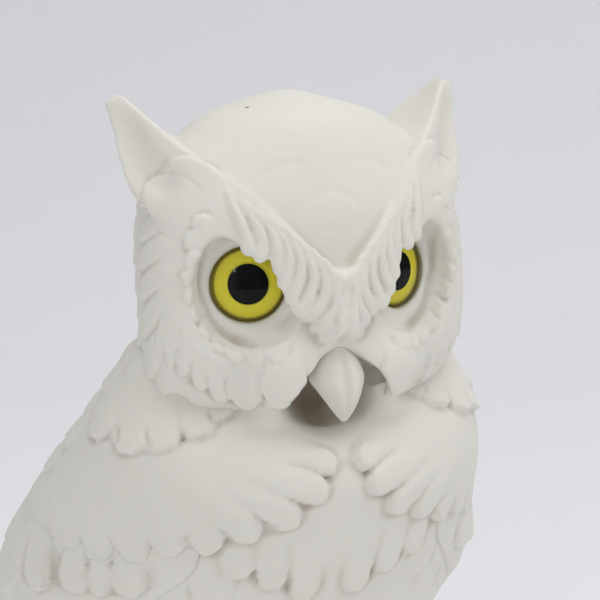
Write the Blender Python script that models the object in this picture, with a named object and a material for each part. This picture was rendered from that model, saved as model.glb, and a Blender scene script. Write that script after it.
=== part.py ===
"""Horned owl figurine in bisque porcelain with inset glass eyes, as separate castings and eye pieces."""

import math

import bmesh
import bpy
from mathutils import Matrix, Vector

MM = 0.001

# Fits
CLEARANCE = 0.3 * MM
WALL = 4.5 * MM
SINK = 2.0 * MM

# Mesh density
TORSO_SEGMENTS = 36
TORSO_RINGS = 18
HEAD_SEGMENTS = 32
HEAD_RINGS = 16
CAVITY_SEGMENTS = 20
CAVITY_RINGS = 9
LIMB_SEGMENTS = 10
EYE_SEGMENTS = 24

# Felt pad and stump
FELT_THICKNESS = 1.5 * MM
FELT_MARGIN = 2.0 * MM
STUMP_HEIGHT = 36 * MM
STUMP_RADIUS = 36 * MM
STUMP_FLARE = 5 * MM
STUMP_FLUTE = 1.6 * MM
STUMP_FLUTES = 15
STUMP_SEGMENTS = 90
STUMP_DOME = 2.0 * MM
STUMP_WALL = 6 * MM
STUMP_LEVELS = (0.0, 0.12, 0.35, 0.65, 0.9)
STUMP_SWAYS = 4
STUMP_SWAY_SHARE = 0.6

# Torso: height, centre towards the back, half width, depth to the front and to the back
TORSO_STATIONS = (
    (40 * MM, 9 * MM, 13 * MM, 13 * MM, 13 * MM),
    (44 * MM, 10 * MM, 24 * MM, 23 * MM, 23 * MM),
    (52 * MM, 11 * MM, 34 * MM, 34 * MM, 31 * MM),
    (62 * MM, 12 * MM, 42 * MM, 43 * MM, 35 * MM),
    (73 * MM, 11 * MM, 47.5 * MM, 48 * MM, 38 * MM),
    (85 * MM, 7 * MM, 49.5 * MM, 48 * MM, 40 * MM),
    (98 * MM, 0 * MM, 49 * MM, 45.5 * MM, 39.5 * MM),
    (110 * MM, -10 * MM, 47 * MM, 40 * MM, 37 * MM),
    (118 * MM, -17 * MM, 44.5 * MM, 31 * MM, 34.5 * MM),
    (124 * MM, -20 * MM, 41.5 * MM, 22.5 * MM, 32.5 * MM),
    (128 * MM, -21.5 * MM, 35 * MM, 15.5 * MM, 27 * MM),
)
NECK_HALF_WIDTH = 17 * MM
NECK_HALF_DEPTH = 11.5 * MM
NECK_RISE = 10 * MM
NECK_WALL = 4 * MM

# Breast cape: raised layer that ends in a scalloped hem, V shaped at the front
CAPE_RELIEF = 1.8 * MM
CAPE_FRONT_HEM = 119 * MM
CAPE_POINT = math.radians(21)
CAPE_SIDE_HEM = 93 * MM
CAPE_BACK_HEM = 84 * MM
CAPE_SCALLOPS = 36
CAPE_SCALLOP_DROP = 3.0 * MM
CAPE_STEPS = 144
CAPE_ROWS = 4
CAPE_TOP = 124 * MM
CAPE_THIN_SHARE = 0.1

# Collar ruff: a second raised layer round the neck
COLLAR_RELIEF = 1.4 * MM
COLLAR_TOP = 126.5 * MM
COLLAR_SIDE_DEPTH = 8 * MM
COLLAR_FRONT_DEPTH = 2.5 * MM
COLLAR_POINT = math.radians(22)
COLLAR_SCALLOPS = 24
COLLAR_SCALLOP_DROP = 2.2 * MM
COLLAR_STEPS = 96
COLLAR_ROWS = 3

# Wings, as angles round the torso from the owl's side towards its back
WING_UNDER_HEM = 2 * MM
WING_TOP = CAPE_SIDE_HEM + WING_UNDER_HEM
WING_TIP = 42 * MM
WING_THICKNESS = 5.5 * MM
WING_EDGE = 1.2 * MM
WING_TOP_FRONT = math.radians(-50)
WING_TOP_BACK = math.radians(58)
WING_TIP_FRONT = math.radians(46)
WING_TIP_BACK = math.radians(60)
WING_SWELL_START = 0.02
WING_SWELL_SPAN = 0.9
WING_BULGE = 0.6
WING_SWEEP = 1.4
WING_HANG_HEIGHT = max(TORSO_STATIONS, key=lambda row: row[3])[0]
WING_HANG_TUCK = 0.35
WING_LEVELS = 11
WING_STEPS = 8

# Tail
TAIL_ROOT_HEIGHT = 62 * MM
TAIL_ROOT_IN = 8 * MM
TAIL_LENGTH = 56 * MM
TAIL_TILT = math.radians(24)
TAIL_ROOT_HALF_WIDTH = 15 * MM
TAIL_TIP_HALF_WIDTH = 20 * MM
TAIL_THICKNESS = 8 * MM
TAIL_THINNING = 0.55
TAIL_END_SHARE = 0.8
TAIL_LEVELS = 7

# Feet
FOOT_SPACING = 27 * MM
FOOT_BACK = -6 * MM
HIP_HEIGHT = 62 * MM
LEG_RADIUS = 10 * MM
LEG_SPREAD = 1.15
TOE_LENGTH = 19 * MM
TOE_RADIUS = 4.8 * MM
TOE_ARCH = 3.5 * MM
TALON_DROP = 7 * MM
TOE_FAN = math.radians(27)
LEG_KNEE_SHARE = 0.3
LEG_ANKLE_SHARE = 0.8

# Toe path: shares of the toe length, of the arch, of the talon drop and of the toe radius
TOE_PATH = (
    (0.0, 0.0, 0.0, 1.0),
    (0.45, 1.0, 0.0, 1.05),
    (0.85, 0.6, 0.0, 0.95),
    (1.0, 0.0, 0.0, 0.75),
    (1.25, 0.0, 0.45, 0.5),
    (1.3, 0.0, 1.0, 0.12),
)

# Skull: height, centre towards the back, half width, depth to the front and to the back
SKULL_STATIONS = (
    (122 * MM, -26 * MM, 27 * MM, 10.5 * MM, 25 * MM),
    (128 * MM, -28 * MM, 32.5 * MM, 13.5 * MM, 31 * MM),
    (136 * MM, -30.5 * MM, 34.5 * MM, 14 * MM, 34 * MM),
    (146 * MM, -32 * MM, 35 * MM, 13.5 * MM, 36 * MM),
    (157 * MM, -31 * MM, 35 * MM, 14 * MM, 37.5 * MM),
    (168 * MM, -29 * MM, 33 * MM, 14.5 * MM, 36 * MM),
    (178 * MM, -25 * MM, 28 * MM, 13.5 * MM, 30 * MM),
    (185 * MM, -21 * MM, 20 * MM, 11.5 * MM, 20 * MM),
    (188.5 * MM, -19 * MM, 9 * MM, 7 * MM, 9.5 * MM),
)
SKULL_FLOOR = 9 * MM

# Brow and ear tuft of the owl's left side: crest, lower lip and root, from the bridge to the tip
BROW_CREST = ((1.5, -48.5, 155), (10, -45, 163.5), (19.5, -37.5, 172.5), (29, -29, 181), (38, -19, 190))
BROW_LIP = ((3.0, -47.5, 146), (11, -46, 155.5), (21.5, -41, 163), (35.5, -29, 169), (39, -19, 189.5))
BROW_ROOT = ((0.5, -36, 150), (8, -31, 160), (16, -22, 174), (25, -16, 185), (37.5, -17.5, 190))
BROW_RINGS = 12
BROW_EDGE_POINTS = 3
BROW_EDGE_SHARE = 0.16

# Facial discs, round the eye axis
DISC_RADIUS = 19.5 * MM
DISC_RELIEF = 1.6 * MM
DISC_DEPTH = 9 * MM
DISC_DROP = 5.5 * MM
DISC_IN = 1.0 * MM
DISC_ROOT_SHARE = 0.7
DISC_SLOPE_SHARE = 0.8
DISC_SLOPE_DROP = 2.475 * MM
ORBIT_RADIUS = 14.5 * MM
ORBIT_DEPTH = 4.5 * MM

# Eyes
EYE_HEIGHT = 152.6 * MM
EYE_HALF_SPACING = 16.2 * MM
EYE_BACK = -37 * MM
EYE_YAW = math.radians(22)
EYE_PITCH = math.radians(4)
EYE_APERTURE = 15 * MM
EYE_FLANGE = 16.4 * MM
EYE_FLANGE_THICKNESS = 1.6 * MM
EYE_DOME = 2.6 * MM
EYE_LID = 1.6 * MM
IRIS_THICKNESS = 0.7 * MM
PUPIL_DIAMETER = 8.2 * MM
PUPIL_THICKNESS = 0.5 * MM
PUTTY_THICKNESS = 3.0 * MM
LID_RADIUS = 10.2 * MM
LID_ROUND = 0.714 * MM
DOME_STEPS = 5
SOCKET_REACH = 16 * MM

# Beak: centre line from root to tip with half width and half depth
BEAK_STATIONS = (
    (-36 * MM, 135.5 * MM, 4.2 * MM, 4.0 * MM),
    (-43 * MM, 135.5 * MM, 4.4 * MM, 4.2 * MM),
    (-46.2 * MM, 134.2 * MM, 5.2 * MM, 4.2 * MM),
    (-48.0 * MM, 131.5 * MM, 4.8 * MM, 3.9 * MM),
    (-48.6 * MM, 128.0 * MM, 3.2 * MM, 3.0 * MM),
    (-47.9 * MM, 124.6 * MM, 1.0 * MM, 1.0 * MM),
)
BEAK_SEGMENTS = 12
BEAK_RINGS = 9

BISQUE = (0.86, 0.84, 0.79, 1.0)
GLASS = (0.95, 0.96, 0.96, 1.0)
YELLOW = (0.62, 0.50, 0.03, 1.0)
BLACK = (0.01, 0.01, 0.01, 1.0)
PUTTY = (0.55, 0.51, 0.45, 1.0)
FELT = (0.10, 0.16, 0.11, 1.0)
MATTE = 0.7
GLOSSY = 0.3


def clear_scene():
    """Remove every object of the opened scene."""
    for item in list(bpy.data.objects):
        bpy.data.objects.remove(item, do_unlink=True)


def material(name, colour, roughness):
    """Principled material of one node."""
    made = bpy.data.materials.new(name)
    made.use_nodes = True
    shader = made.node_tree.nodes["Principled BSDF"]
    shader.inputs["Base Color"].default_value = colour
    shader.inputs["Roughness"].default_value = roughness
    return made


def catmull(rows, count):
    """Evenly spaced points of a smooth curve through the rows."""
    last = len(rows) - 1
    made = []
    for step in range(count):
        at = step * last / (count - 1)
        index = min(int(at), last - 1)
        t = at - index
        p1 = rows[index]
        p2 = rows[index + 1]
        p0 = rows[index - 1] if index > 0 else tuple(2 * a - b for a, b in zip(p1, p2))
        p3 = rows[index + 2] if index + 2 <= last else tuple(2 * b - a for a, b in zip(p1, p2))
        made.append(tuple(
            b + 0.5 * t * (c - a + t * (2 * a - 5 * b + 4 * c - d + t * (3 * (b - c) + d - a)))
            for a, b, c, d in zip(p0, p1, p2, p3)
        ))
    return made


def station_at(rows, height):
    """Section of a station list at a height, on its smooth curve."""
    last = len(rows) - 1
    height = min(max(height, rows[0][0]), rows[last][0])
    index = max(k for k in range(last) if rows[k][0] <= height or k == 0)
    t = (height - rows[index][0]) / (rows[index + 1][0] - rows[index][0])
    before = rows[max(index - 1, 0)]
    after = rows[min(index + 2, last)]
    made = [height]
    for column in range(1, len(rows[0])):
        a, b, c, d = (row[column] for row in (before, rows[index], rows[index + 1], after))
        made.append(b + 0.5 * t * (c - a + t * (2 * a - 5 * b + 4 * c - d + t * (3 * (b - c) + d - a))))
    return tuple(made)


def section_point(section, angle, offset=0.0):
    """Point of an egg-shaped section, with the angle measured from +X towards the back."""
    height, centre, half_width, front, back = section
    depth = back if math.sin(angle) >= 0 else front
    return Vector((
        (half_width + offset) * math.cos(angle),
        centre + (depth + offset) * math.sin(angle),
        height,
    ))


def section_ring(section, segments, offset=0.0):
    """Closed ring of points round one section."""
    return [section_point(section, 2 * math.pi * k / segments, offset) for k in range(segments)]


def add_object(name, mesh):
    """Link a mesh as an object of the scene."""
    made = bpy.data.objects.new(name, mesh)
    bpy.context.scene.collection.objects.link(made)
    return made


def loft(name, rings, joined=False):
    """Closed solid through rings of equal length, with flat ends or its last ring joined to its first."""
    built = bmesh.new()
    rows = [[built.verts.new(point) for point in ring] for ring in rings]
    count = len(rows[0])
    pairs = list(zip(rows, rows[1:]))
    if joined:
        pairs.append((rows[-1], rows[0]))
    for low, high in pairs:
        for k in range(count):
            built.faces.new((low[k], low[(k + 1) % count], high[(k + 1) % count], high[k]))
    if not joined:
        built.faces.new(list(reversed(rows[0])))
        built.faces.new(rows[-1])
    bmesh.ops.recalc_face_normals(built, faces=built.faces)
    bmesh.ops.triangulate(built, faces=[face for face in built.faces if len(face.verts) > 4])
    mesh = bpy.data.meshes.new(name)
    built.to_mesh(mesh)
    built.free()
    return add_object(name, mesh)


def spun(name, profile, frame, segments=EYE_SEGMENTS):
    """Solid of revolution about the frame's Z, from radius and height pairs."""
    rings = []
    for radius, height in profile:
        rings.append([
            frame @ Vector((
                radius * math.cos(2 * math.pi * k / segments),
                radius * math.sin(2 * math.pi * k / segments),
                height,
            ))
            for k in range(segments)
        ])
    return loft(name, rings)


def bake(piece):
    """Replace a piece's mesh by its evaluated one and drop its modifiers."""
    graph = bpy.context.evaluated_depsgraph_get()
    mesh = bpy.data.meshes.new_from_object(piece.evaluated_get(graph))
    piece.modifiers.clear()
    piece.data = mesh


def triangulate(piece):
    """Split a piece's faces into triangles, so that a cut meets flat faces only."""
    built = bmesh.new()
    built.from_mesh(piece.data)
    bmesh.ops.triangulate(built, faces=built.faces)
    built.to_mesh(piece.data)
    built.free()


def boolean(piece, other, operation):
    """Join another solid to a piece or cut it away, and use up the other one."""
    triangulate(piece)
    triangulate(other)
    step = piece.modifiers.new(operation.lower(), "BOOLEAN")
    step.operation = operation
    step.solver = "EXACT"
    step.object = other
    other.hide_render = True
    other.display_type = "WIRE"
    bake(piece)
    bpy.data.objects.remove(other, do_unlink=True)


def inflated(piece, amount):
    """Copy of a solid, moved outwards along its normals."""
    copy = add_object(piece.name + "_seat", piece.data.copy())
    push = copy.modifiers.new("push", "DISPLACE")
    push.strength = amount
    push.mid_level = 0.0
    bake(copy)
    return copy


def seat(piece, neighbour, amount=CLEARANCE):
    """Cut a piece to lie against a neighbour with the clearance between them."""
    boolean(piece, inflated(neighbour, amount), "DIFFERENCE")


def to_side(points, side):
    """Points of the owl's left side, or their mirror image for a side of -1."""
    return [Vector((side * point.x, point.y, point.z)) for point in points]


def largest_body(piece):
    """Keep only the largest connected body of a cut piece."""
    built = bmesh.new()
    built.from_mesh(piece.data)
    bmesh.ops.remove_doubles(built, verts=built.verts, dist=CLEARANCE / 30)
    left = set(built.verts)
    bodies = []
    while left:
        stack = [left.pop()]
        body = set(stack)
        while stack:
            for edge in stack.pop().link_edges:
                for vert in edge.verts:
                    if vert in left:
                        left.remove(vert)
                        body.add(vert)
                        stack.append(vert)
        bodies.append(body)
    bodies.sort(key=len)
    drop = [vert for body in bodies[:-1] for vert in body]
    bmesh.ops.delete(built, geom=drop, context="VERTS")
    built.to_mesh(piece.data)
    built.free()


def make_felt():
    """Felt disc that covers the stump's underside."""
    radius = STUMP_RADIUS + STUMP_FLARE - FELT_MARGIN - STUMP_FLUTE
    return spun("felt_pad", ((radius, 0), (radius, FELT_THICKNESS)), Matrix.Identity(4), HEAD_SEGMENTS)


def stump_ring(height, radius, flute):
    """Ring of the stump with bark flutes."""
    ring = []
    for k in range(STUMP_SEGMENTS):
        angle = 2 * math.pi * k / STUMP_SEGMENTS
        wave = math.sin(STUMP_FLUTES * angle) + STUMP_SWAY_SHARE * math.sin(STUMP_SWAYS * angle + 1)
        reach = radius + flute * wave
        ring.append(Vector((reach * math.cos(angle), reach * math.sin(angle), height)))
    return ring


def make_stump():
    """Perch casting with a domed top, hollow and open below."""
    floor = FELT_THICKNESS + CLEARANCE
    rise = STUMP_HEIGHT - floor
    rings = []
    for level in STUMP_LEVELS:
        radius = STUMP_RADIUS + STUMP_FLARE * (1 - level) ** 2
        rings.append(stump_ring(floor + rise * level, radius, STUMP_FLUTE))
    rings.append(stump_ring(STUMP_HEIGHT, STUMP_RADIUS - STUMP_WALL / 2, STUMP_FLUTE / 2))
    rings.append(stump_ring(STUMP_HEIGHT + STUMP_DOME, STUMP_RADIUS / 2, 0))
    piece = loft("stump", rings)
    inner = STUMP_RADIUS - STUMP_WALL - STUMP_FLUTE
    profile = (
        (inner, floor - STUMP_WALL),
        (inner, STUMP_HEIGHT - 2 * STUMP_WALL),
        (inner / 2, STUMP_HEIGHT - STUMP_WALL),
    )
    boolean(piece, spun("hollow", profile, Matrix.Identity(4)), "DIFFERENCE")
    return piece


def cape_hem(angle):
    """Height of the cape's hem round the torso."""
    turn = math.acos(max(-1.0, min(1.0, -math.sin(angle))))
    height = CAPE_SIDE_HEM
    height += (CAPE_FRONT_HEM - CAPE_SIDE_HEM) * math.exp(-turn / CAPE_POINT)
    height += (CAPE_BACK_HEM - CAPE_SIDE_HEM) * max(0.0, math.sin(angle))
    return height - CAPE_SCALLOP_DROP * abs(math.sin(CAPE_SCALLOPS * turn / 2))


def collar_hem(angle):
    """Height of the collar's hem round the torso."""
    turn = math.acos(max(-1.0, min(1.0, -math.sin(angle))))
    depth = COLLAR_SIDE_DEPTH + (COLLAR_FRONT_DEPTH - COLLAR_SIDE_DEPTH) * math.exp(-turn / COLLAR_POINT)
    return COLLAR_TOP - depth - COLLAR_SCALLOP_DROP * abs(math.sin(COLLAR_SCALLOPS * turn / 2))


def make_layer(name, hem, top, relief, rows_count, steps):
    """Raised feather layer, sunk into the torso, that grows thicker towards its hem."""
    rows = [(0.0, -SINK)]
    for row in range(rows_count + 1):
        share = row / rows_count
        rows.append((share, relief * (CAPE_THIN_SHARE + (1 - CAPE_THIN_SHARE) * share)))
    rows.append((1.0, -SINK))
    rings = []
    for share, offset in rows:
        ring = []
        for k in range(steps):
            angle = 2 * math.pi * (k + 0.5) / steps
            height = top + (hem(angle) - top) * share
            ring.append(section_point(station_at(TORSO_STATIONS, height), angle, offset))
        rings.append(ring)
    return loft(name, rings, joined=True)


def make_cape():
    """Breast cape with a scalloped hem, V shaped at the front."""
    return make_layer("cape", cape_hem, CAPE_TOP, CAPE_RELIEF, CAPE_ROWS, CAPE_STEPS)


def make_collar():
    """Collar ruff over the top of the cape."""
    relief = COLLAR_RELIEF + CAPE_RELIEF * CAPE_THIN_SHARE
    return make_layer("collar", collar_hem, COLLAR_TOP, relief, COLLAR_ROWS, COLLAR_STEPS)


def torso_levels(count):
    """Heights spread over the torso, closer where it curves in."""
    low = TORSO_STATIONS[0][0]
    high = TORSO_STATIONS[-1][0]
    return [low + (high - low) * (0.5 - 0.5 * math.cos(math.pi * k / (count - 1))) for k in range(count)]


def make_torso_form():
    """Outer form of the torso with its neck spigot."""
    rings = [section_ring(station_at(TORSO_STATIONS, z), TORSO_SEGMENTS) for z in torso_levels(TORSO_RINGS)]
    top = TORSO_STATIONS[-1]
    for height in (top[0], top[0] + NECK_RISE):
        neck = (height, top[1], NECK_HALF_WIDTH, NECK_HALF_DEPTH, NECK_HALF_DEPTH)
        rings.append(section_ring(neck, TORSO_SEGMENTS))
    return loft("torso", rings)


def hollow_torso(piece):
    """Cut the torso's cavity, open through the neck spigot and the belly."""
    low = TORSO_STATIONS[0]
    top = TORSO_STATIONS[-1]
    narrow = (NECK_HALF_WIDTH - NECK_WALL, NECK_HALF_DEPTH - NECK_WALL, NECK_HALF_DEPTH - NECK_WALL)
    rings = [section_ring((low[0] - WALL, low[1], *narrow), CAVITY_SEGMENTS)]
    for k in range(1, CAVITY_RINGS):
        height = low[0] + WALL + (top[0] - low[0] - 3 * WALL) * k / CAVITY_RINGS
        section = station_at(TORSO_STATIONS, height)
        limits = [max(value - WALL - CAPE_RELIEF, slim) for value, slim in zip(section[2:], narrow)]
        rings.append(section_ring((section[0], section[1], *limits), CAVITY_SEGMENTS))
    rings.append(section_ring((top[0], top[1], *narrow), CAVITY_SEGMENTS))
    rings.append(section_ring((top[0] + NECK_RISE + WALL, top[1], *narrow), CAVITY_SEGMENTS))
    boolean(piece, loft("hollow", rings), "DIFFERENCE")


def make_wing(name, side, torso_form):
    """Wing of one side, laid on the torso and free at the tip."""
    rings = []
    for level in range(WING_LEVELS):
        share = level / (WING_LEVELS - 1)
        height = WING_TOP + (WING_TIP - WING_TOP) * share
        section = station_at(TORSO_STATIONS, height)
        widest = station_at(TORSO_STATIONS, max(height, WING_HANG_HEIGHT))
        hang = min(max((WING_HANG_HEIGHT - height) / (WING_HANG_HEIGHT - WING_TIP), 0.0), 1.0)
        blend = tuple(a + (b - a) * (1 - WING_HANG_TUCK * hang) for a, b in zip(section[1:], widest[1:]))
        section = (height, *(blend if hang > 0 else section[1:]))
        ease = share ** WING_SWEEP
        first = WING_TOP_FRONT + (WING_TIP_FRONT - WING_TOP_FRONT) * ease
        final = WING_TOP_BACK + (WING_TIP_BACK - WING_TOP_BACK) * ease
        rise = math.sin(math.pi * (WING_SWELL_START + WING_SWELL_SPAN * share))
        swell = WING_EDGE + (WING_THICKNESS - WING_EDGE) * rise
        outer = []
        inner = []
        for k in range(WING_STEPS):
            across = k / (WING_STEPS - 1)
            angle = first + (final - first) * across
            bulge = WING_EDGE + (swell - WING_EDGE) * math.sin(math.pi * across) ** WING_BULGE
            outer.append(section_point(section, angle, bulge))
            inner.append(section_point(section, angle, -SINK))
        rings.append(to_side(outer + list(reversed(inner)), side))
    piece = loft(name, rings)
    seat(piece, torso_form)
    largest_body(piece)
    return piece


def make_tail(torso_form, wings):
    """Fan of tail feathers luted on the torso's back."""
    section = station_at(TORSO_STATIONS, TAIL_ROOT_HEIGHT)
    root = Vector((0, section[1] + section[4] - TAIL_ROOT_IN, TAIL_ROOT_HEIGHT))
    along = Vector((0, math.sin(TAIL_TILT), -math.cos(TAIL_TILT)))
    out = Vector((0, math.cos(TAIL_TILT), math.sin(TAIL_TILT)))
    rings = []
    for level in range(TAIL_LEVELS):
        share = level / (TAIL_LEVELS - 1)
        half = TAIL_ROOT_HALF_WIDTH + (TAIL_TIP_HALF_WIDTH - TAIL_ROOT_HALF_WIDTH) * share
        thick = TAIL_THICKNESS * (1 - TAIL_THINNING * share) / 2
        if level == TAIL_LEVELS - 1:
            half *= TAIL_END_SHARE
        ring = []
        for k in range(2 * LIMB_SEGMENTS):
            angle = math.pi * k / LIMB_SEGMENTS
            across = half * math.cos(angle)
            bow = -thick * (math.cos(angle) ** 2)
            point = root + along * (TAIL_LENGTH * share) + Vector((across, 0, 0))
            ring.append(point + out * (thick * math.sin(angle) + bow))
        rings.append(ring)
    piece = loft("tail", rings)
    seat(piece, torso_form)
    for wing in wings:
        seat(piece, wing)
    largest_body(piece)
    return piece


def tube(name, points, radii, segments=LIMB_SEGMENTS):
    """Round limb along a path with its own radius at each point."""
    rings = []
    for k, (point, radius) in enumerate(zip(points, radii)):
        ahead = points[min(k + 1, len(points) - 1)] - points[max(k - 1, 0)]
        turn = ahead.to_track_quat("Z", "Y").to_matrix()
        rings.append([
            point + turn @ Vector((
                radius * math.cos(2 * math.pi * j / segments),
                radius * math.sin(2 * math.pi * j / segments),
                0,
            ))
            for j in range(segments)
        ])
    return loft(name, rings)


def make_foot(name, side, torso_form, stump):
    """Feathered leg of one side with three toes and talons."""
    top = STUMP_HEIGHT + STUMP_DOME
    ankle = Vector((FOOT_SPACING / 2, FOOT_BACK, top))
    section = station_at(TORSO_STATIONS, HIP_HEIGHT)
    hip = Vector((FOOT_SPACING / 2, FOOT_BACK + LEG_RADIUS / 2, section[0]))
    leg = [ankle - Vector((0, 0, TOE_RADIUS)), ankle.lerp(hip, LEG_KNEE_SHARE), hip]
    thigh = LEG_RADIUS * LEG_SPREAD
    piece = tube(name, to_side(leg, side), (LEG_RADIUS * LEG_ANKLE_SHARE, thigh, thigh))
    for turn in (-TOE_FAN, 0.0, TOE_FAN):
        ahead = Vector((math.sin(turn), -math.cos(turn), 0))
        start = ankle + Vector((0, 0, TOE_RADIUS / 2))
        path = []
        sizes = []
        for reach, arch, drop, size in TOE_PATH:
            rise = arch * TOE_ARCH - drop * TALON_DROP
            path.append(start + ahead * (reach * TOE_LENGTH) + Vector((0, 0, rise)))
            sizes.append(size * TOE_RADIUS)
        boolean(piece, tube("toe", to_side(path, side), sizes), "UNION")
    seat(piece, torso_form)
    seat(piece, stump)
    largest_body(piece)
    return piece


def eye_frame():
    """Frame of the owl's left eye: origin behind the dome at the aperture, Z looking out."""
    look = Vector((
        math.sin(EYE_YAW) * math.cos(EYE_PITCH),
        -math.cos(EYE_YAW) * math.cos(EYE_PITCH),
        math.sin(EYE_PITCH),
    ))
    turn = look.to_track_quat("Z", "Y").to_matrix().to_4x4()
    return Matrix.Translation(Vector((EYE_HALF_SPACING, EYE_BACK, EYE_HEIGHT))) @ turn


def brow_section(crest, lip, root):
    """Rounded triangle between the three edge points."""
    corners = [Vector(point) * MM for point in (crest, lip, root)]
    ring = []
    for k in range(3):
        start = corners[k]
        before = corners[k - 1]
        after = corners[(k + 1) % 3]
        for j in range(BROW_EDGE_POINTS):
            share = BROW_EDGE_SHARE * (j - 1)
            toward = after if share > 0 else before
            ring.append(start.lerp(toward, abs(share)))
    return ring


def make_brow(side):
    """Brow ridge that runs out into an ear tuft, on one side."""
    edges = [catmull(rows, BROW_RINGS) for rows in (BROW_CREST, BROW_LIP, BROW_ROOT)]
    rings = []
    for crest, lip, root in zip(*edges):
        rings.append(to_side(brow_section(crest, lip, root), side))
    return loft("brow", rings)


def make_disc(frame):
    """Facial disc: a shallow dish round the eye with a raised lid."""
    lid = EYE_LID + DISC_IN
    profile = (
        (DISC_ROOT_SHARE * DISC_RADIUS, -DISC_DEPTH),
        (DISC_RADIUS, -DISC_DROP - DISC_RELIEF),
        (DISC_RADIUS, -DISC_DROP),
        (DISC_SLOPE_SHARE * DISC_RADIUS, -DISC_SLOPE_DROP),
        (LID_RADIUS, 0),
        (LID_RADIUS - LID_ROUND, lid),
        (EYE_APERTURE / 2 - CLEARANCE, lid),
    )
    return spun("disc", profile, frame, HEAD_SEGMENTS)


def make_orbit(frame):
    """Cutter that hollows the face round an eye, under the brow."""
    profile = (
        (LID_RADIUS - SINK, -DISC_IN),
        (LID_RADIUS, 0),
        (ORBIT_RADIUS, ORBIT_DEPTH),
        (ORBIT_RADIUS + SINK, 3 * ORBIT_DEPTH),
    )
    return spun("orbit", profile, frame, HEAD_SEGMENTS)


def make_beak():
    """Hooked beak with a root that enters the head."""
    rings = []
    rows = catmull(BEAK_STATIONS, BEAK_RINGS)
    centres = [Vector((0, row[0], row[1])) for row in rows]
    for k, row in enumerate(rows):
        ahead = centres[min(k + 1, len(rows) - 1)] - centres[max(k - 1, 0)]
        ahead.normalize()
        up = Vector((1, 0, 0)).cross(ahead)
        ring = []
        for j in range(BEAK_SEGMENTS):
            angle = 2 * math.pi * j / BEAK_SEGMENTS
            across = Vector((row[2] * math.cos(angle), 0, 0))
            ring.append(centres[k] + across + up * (row[3] * math.sin(angle)))
        rings.append(ring)
    return loft("beak", rings)


def make_socket(frame):
    """Cutter for an eye: aperture in front, wider seat behind for the flange."""
    seat_radius = EYE_FLANGE / 2 + CLEARANCE
    aperture = EYE_APERTURE / 2
    profile = (
        (seat_radius, -SOCKET_REACH),
        (seat_radius, CLEARANCE),
        (aperture, CLEARANCE),
        (aperture, SOCKET_REACH),
    )
    return spun("socket", profile, frame)


def make_eye(frame, side_name):
    """Glass, pupil, iris and putty of one eye, from front to back along its axis."""
    flange = EYE_FLANGE / 2
    dome = EYE_APERTURE / 2 - CLEARANCE
    recess = PUPIL_DIAMETER / 2 + CLEARANCE
    recess_depth = PUPIL_THICKNESS + CLEARANCE
    outline = [(flange, -EYE_FLANGE_THICKNESS), (flange, 0), (dome, 0)]
    for k in range(1, DOME_STEPS + 1):
        angle = 0.5 * math.pi * k / (DOME_STEPS + 1)
        outline.append((dome * math.cos(angle), EYE_LID + EYE_DOME * math.sin(angle)))
    glass = spun(side_name + "_eye_glass", outline, frame)
    pit_floor = recess_depth - EYE_FLANGE_THICKNESS
    pit = spun("pit", ((recess, -2 * EYE_FLANGE_THICKNESS), (recess, pit_floor)), frame)
    boolean(glass, pit, "DIFFERENCE")
    back = -EYE_FLANGE_THICKNESS
    pupil = spun(
        side_name + "_eye_pupil",
        ((PUPIL_DIAMETER / 2, back), (PUPIL_DIAMETER / 2, back + PUPIL_THICKNESS)),
        frame,
    )
    back -= CLEARANCE
    iris = spun(side_name + "_eye_iris", ((flange, back - IRIS_THICKNESS), (flange, back)), frame)
    back -= IRIS_THICKNESS + CLEARANCE
    putty = spun(side_name + "_eye_putty", ((flange, back - PUTTY_THICKNESS), (flange, back)), frame)
    return glass, pupil, iris, putty


def make_head(torso_form, frames, beak):
    """Hollow head with brows, discs, sockets, beak pocket and a bore for the neck."""
    low = SKULL_STATIONS[0][0]
    high = SKULL_STATIONS[-1][0]
    rings = []
    for k in range(HEAD_RINGS):
        height = low + (high - low) * (0.5 - 0.5 * math.cos(math.pi * k / (HEAD_RINGS - 1)))
        rings.append(section_ring(station_at(SKULL_STATIONS, height), HEAD_SEGMENTS))
    piece = loft("head", rings)
    floor = TORSO_STATIONS[-1][0] + SKULL_FLOOR
    roof = high - WALL
    hollow = []
    for k in range(CAVITY_RINGS):
        height = floor + (roof - floor) * (0.5 - 0.5 * math.cos(math.pi * k / (CAVITY_RINGS - 1)))
        section = station_at(SKULL_STATIONS, height)
        hollow.append(section_ring(section, CAVITY_SEGMENTS, -WALL))
    boolean(piece, loft("hollow", hollow), "DIFFERENCE")
    for frame in frames:
        boolean(piece, make_orbit(frame), "DIFFERENCE")
        boolean(piece, make_disc(frame), "UNION")
    for side in (1, -1):
        boolean(piece, make_brow(side), "UNION")
    for frame in frames:
        boolean(piece, make_socket(frame), "DIFFERENCE")
    seat(piece, beak)
    seat(piece, torso_form)
    largest_body(piece)
    return piece


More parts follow.
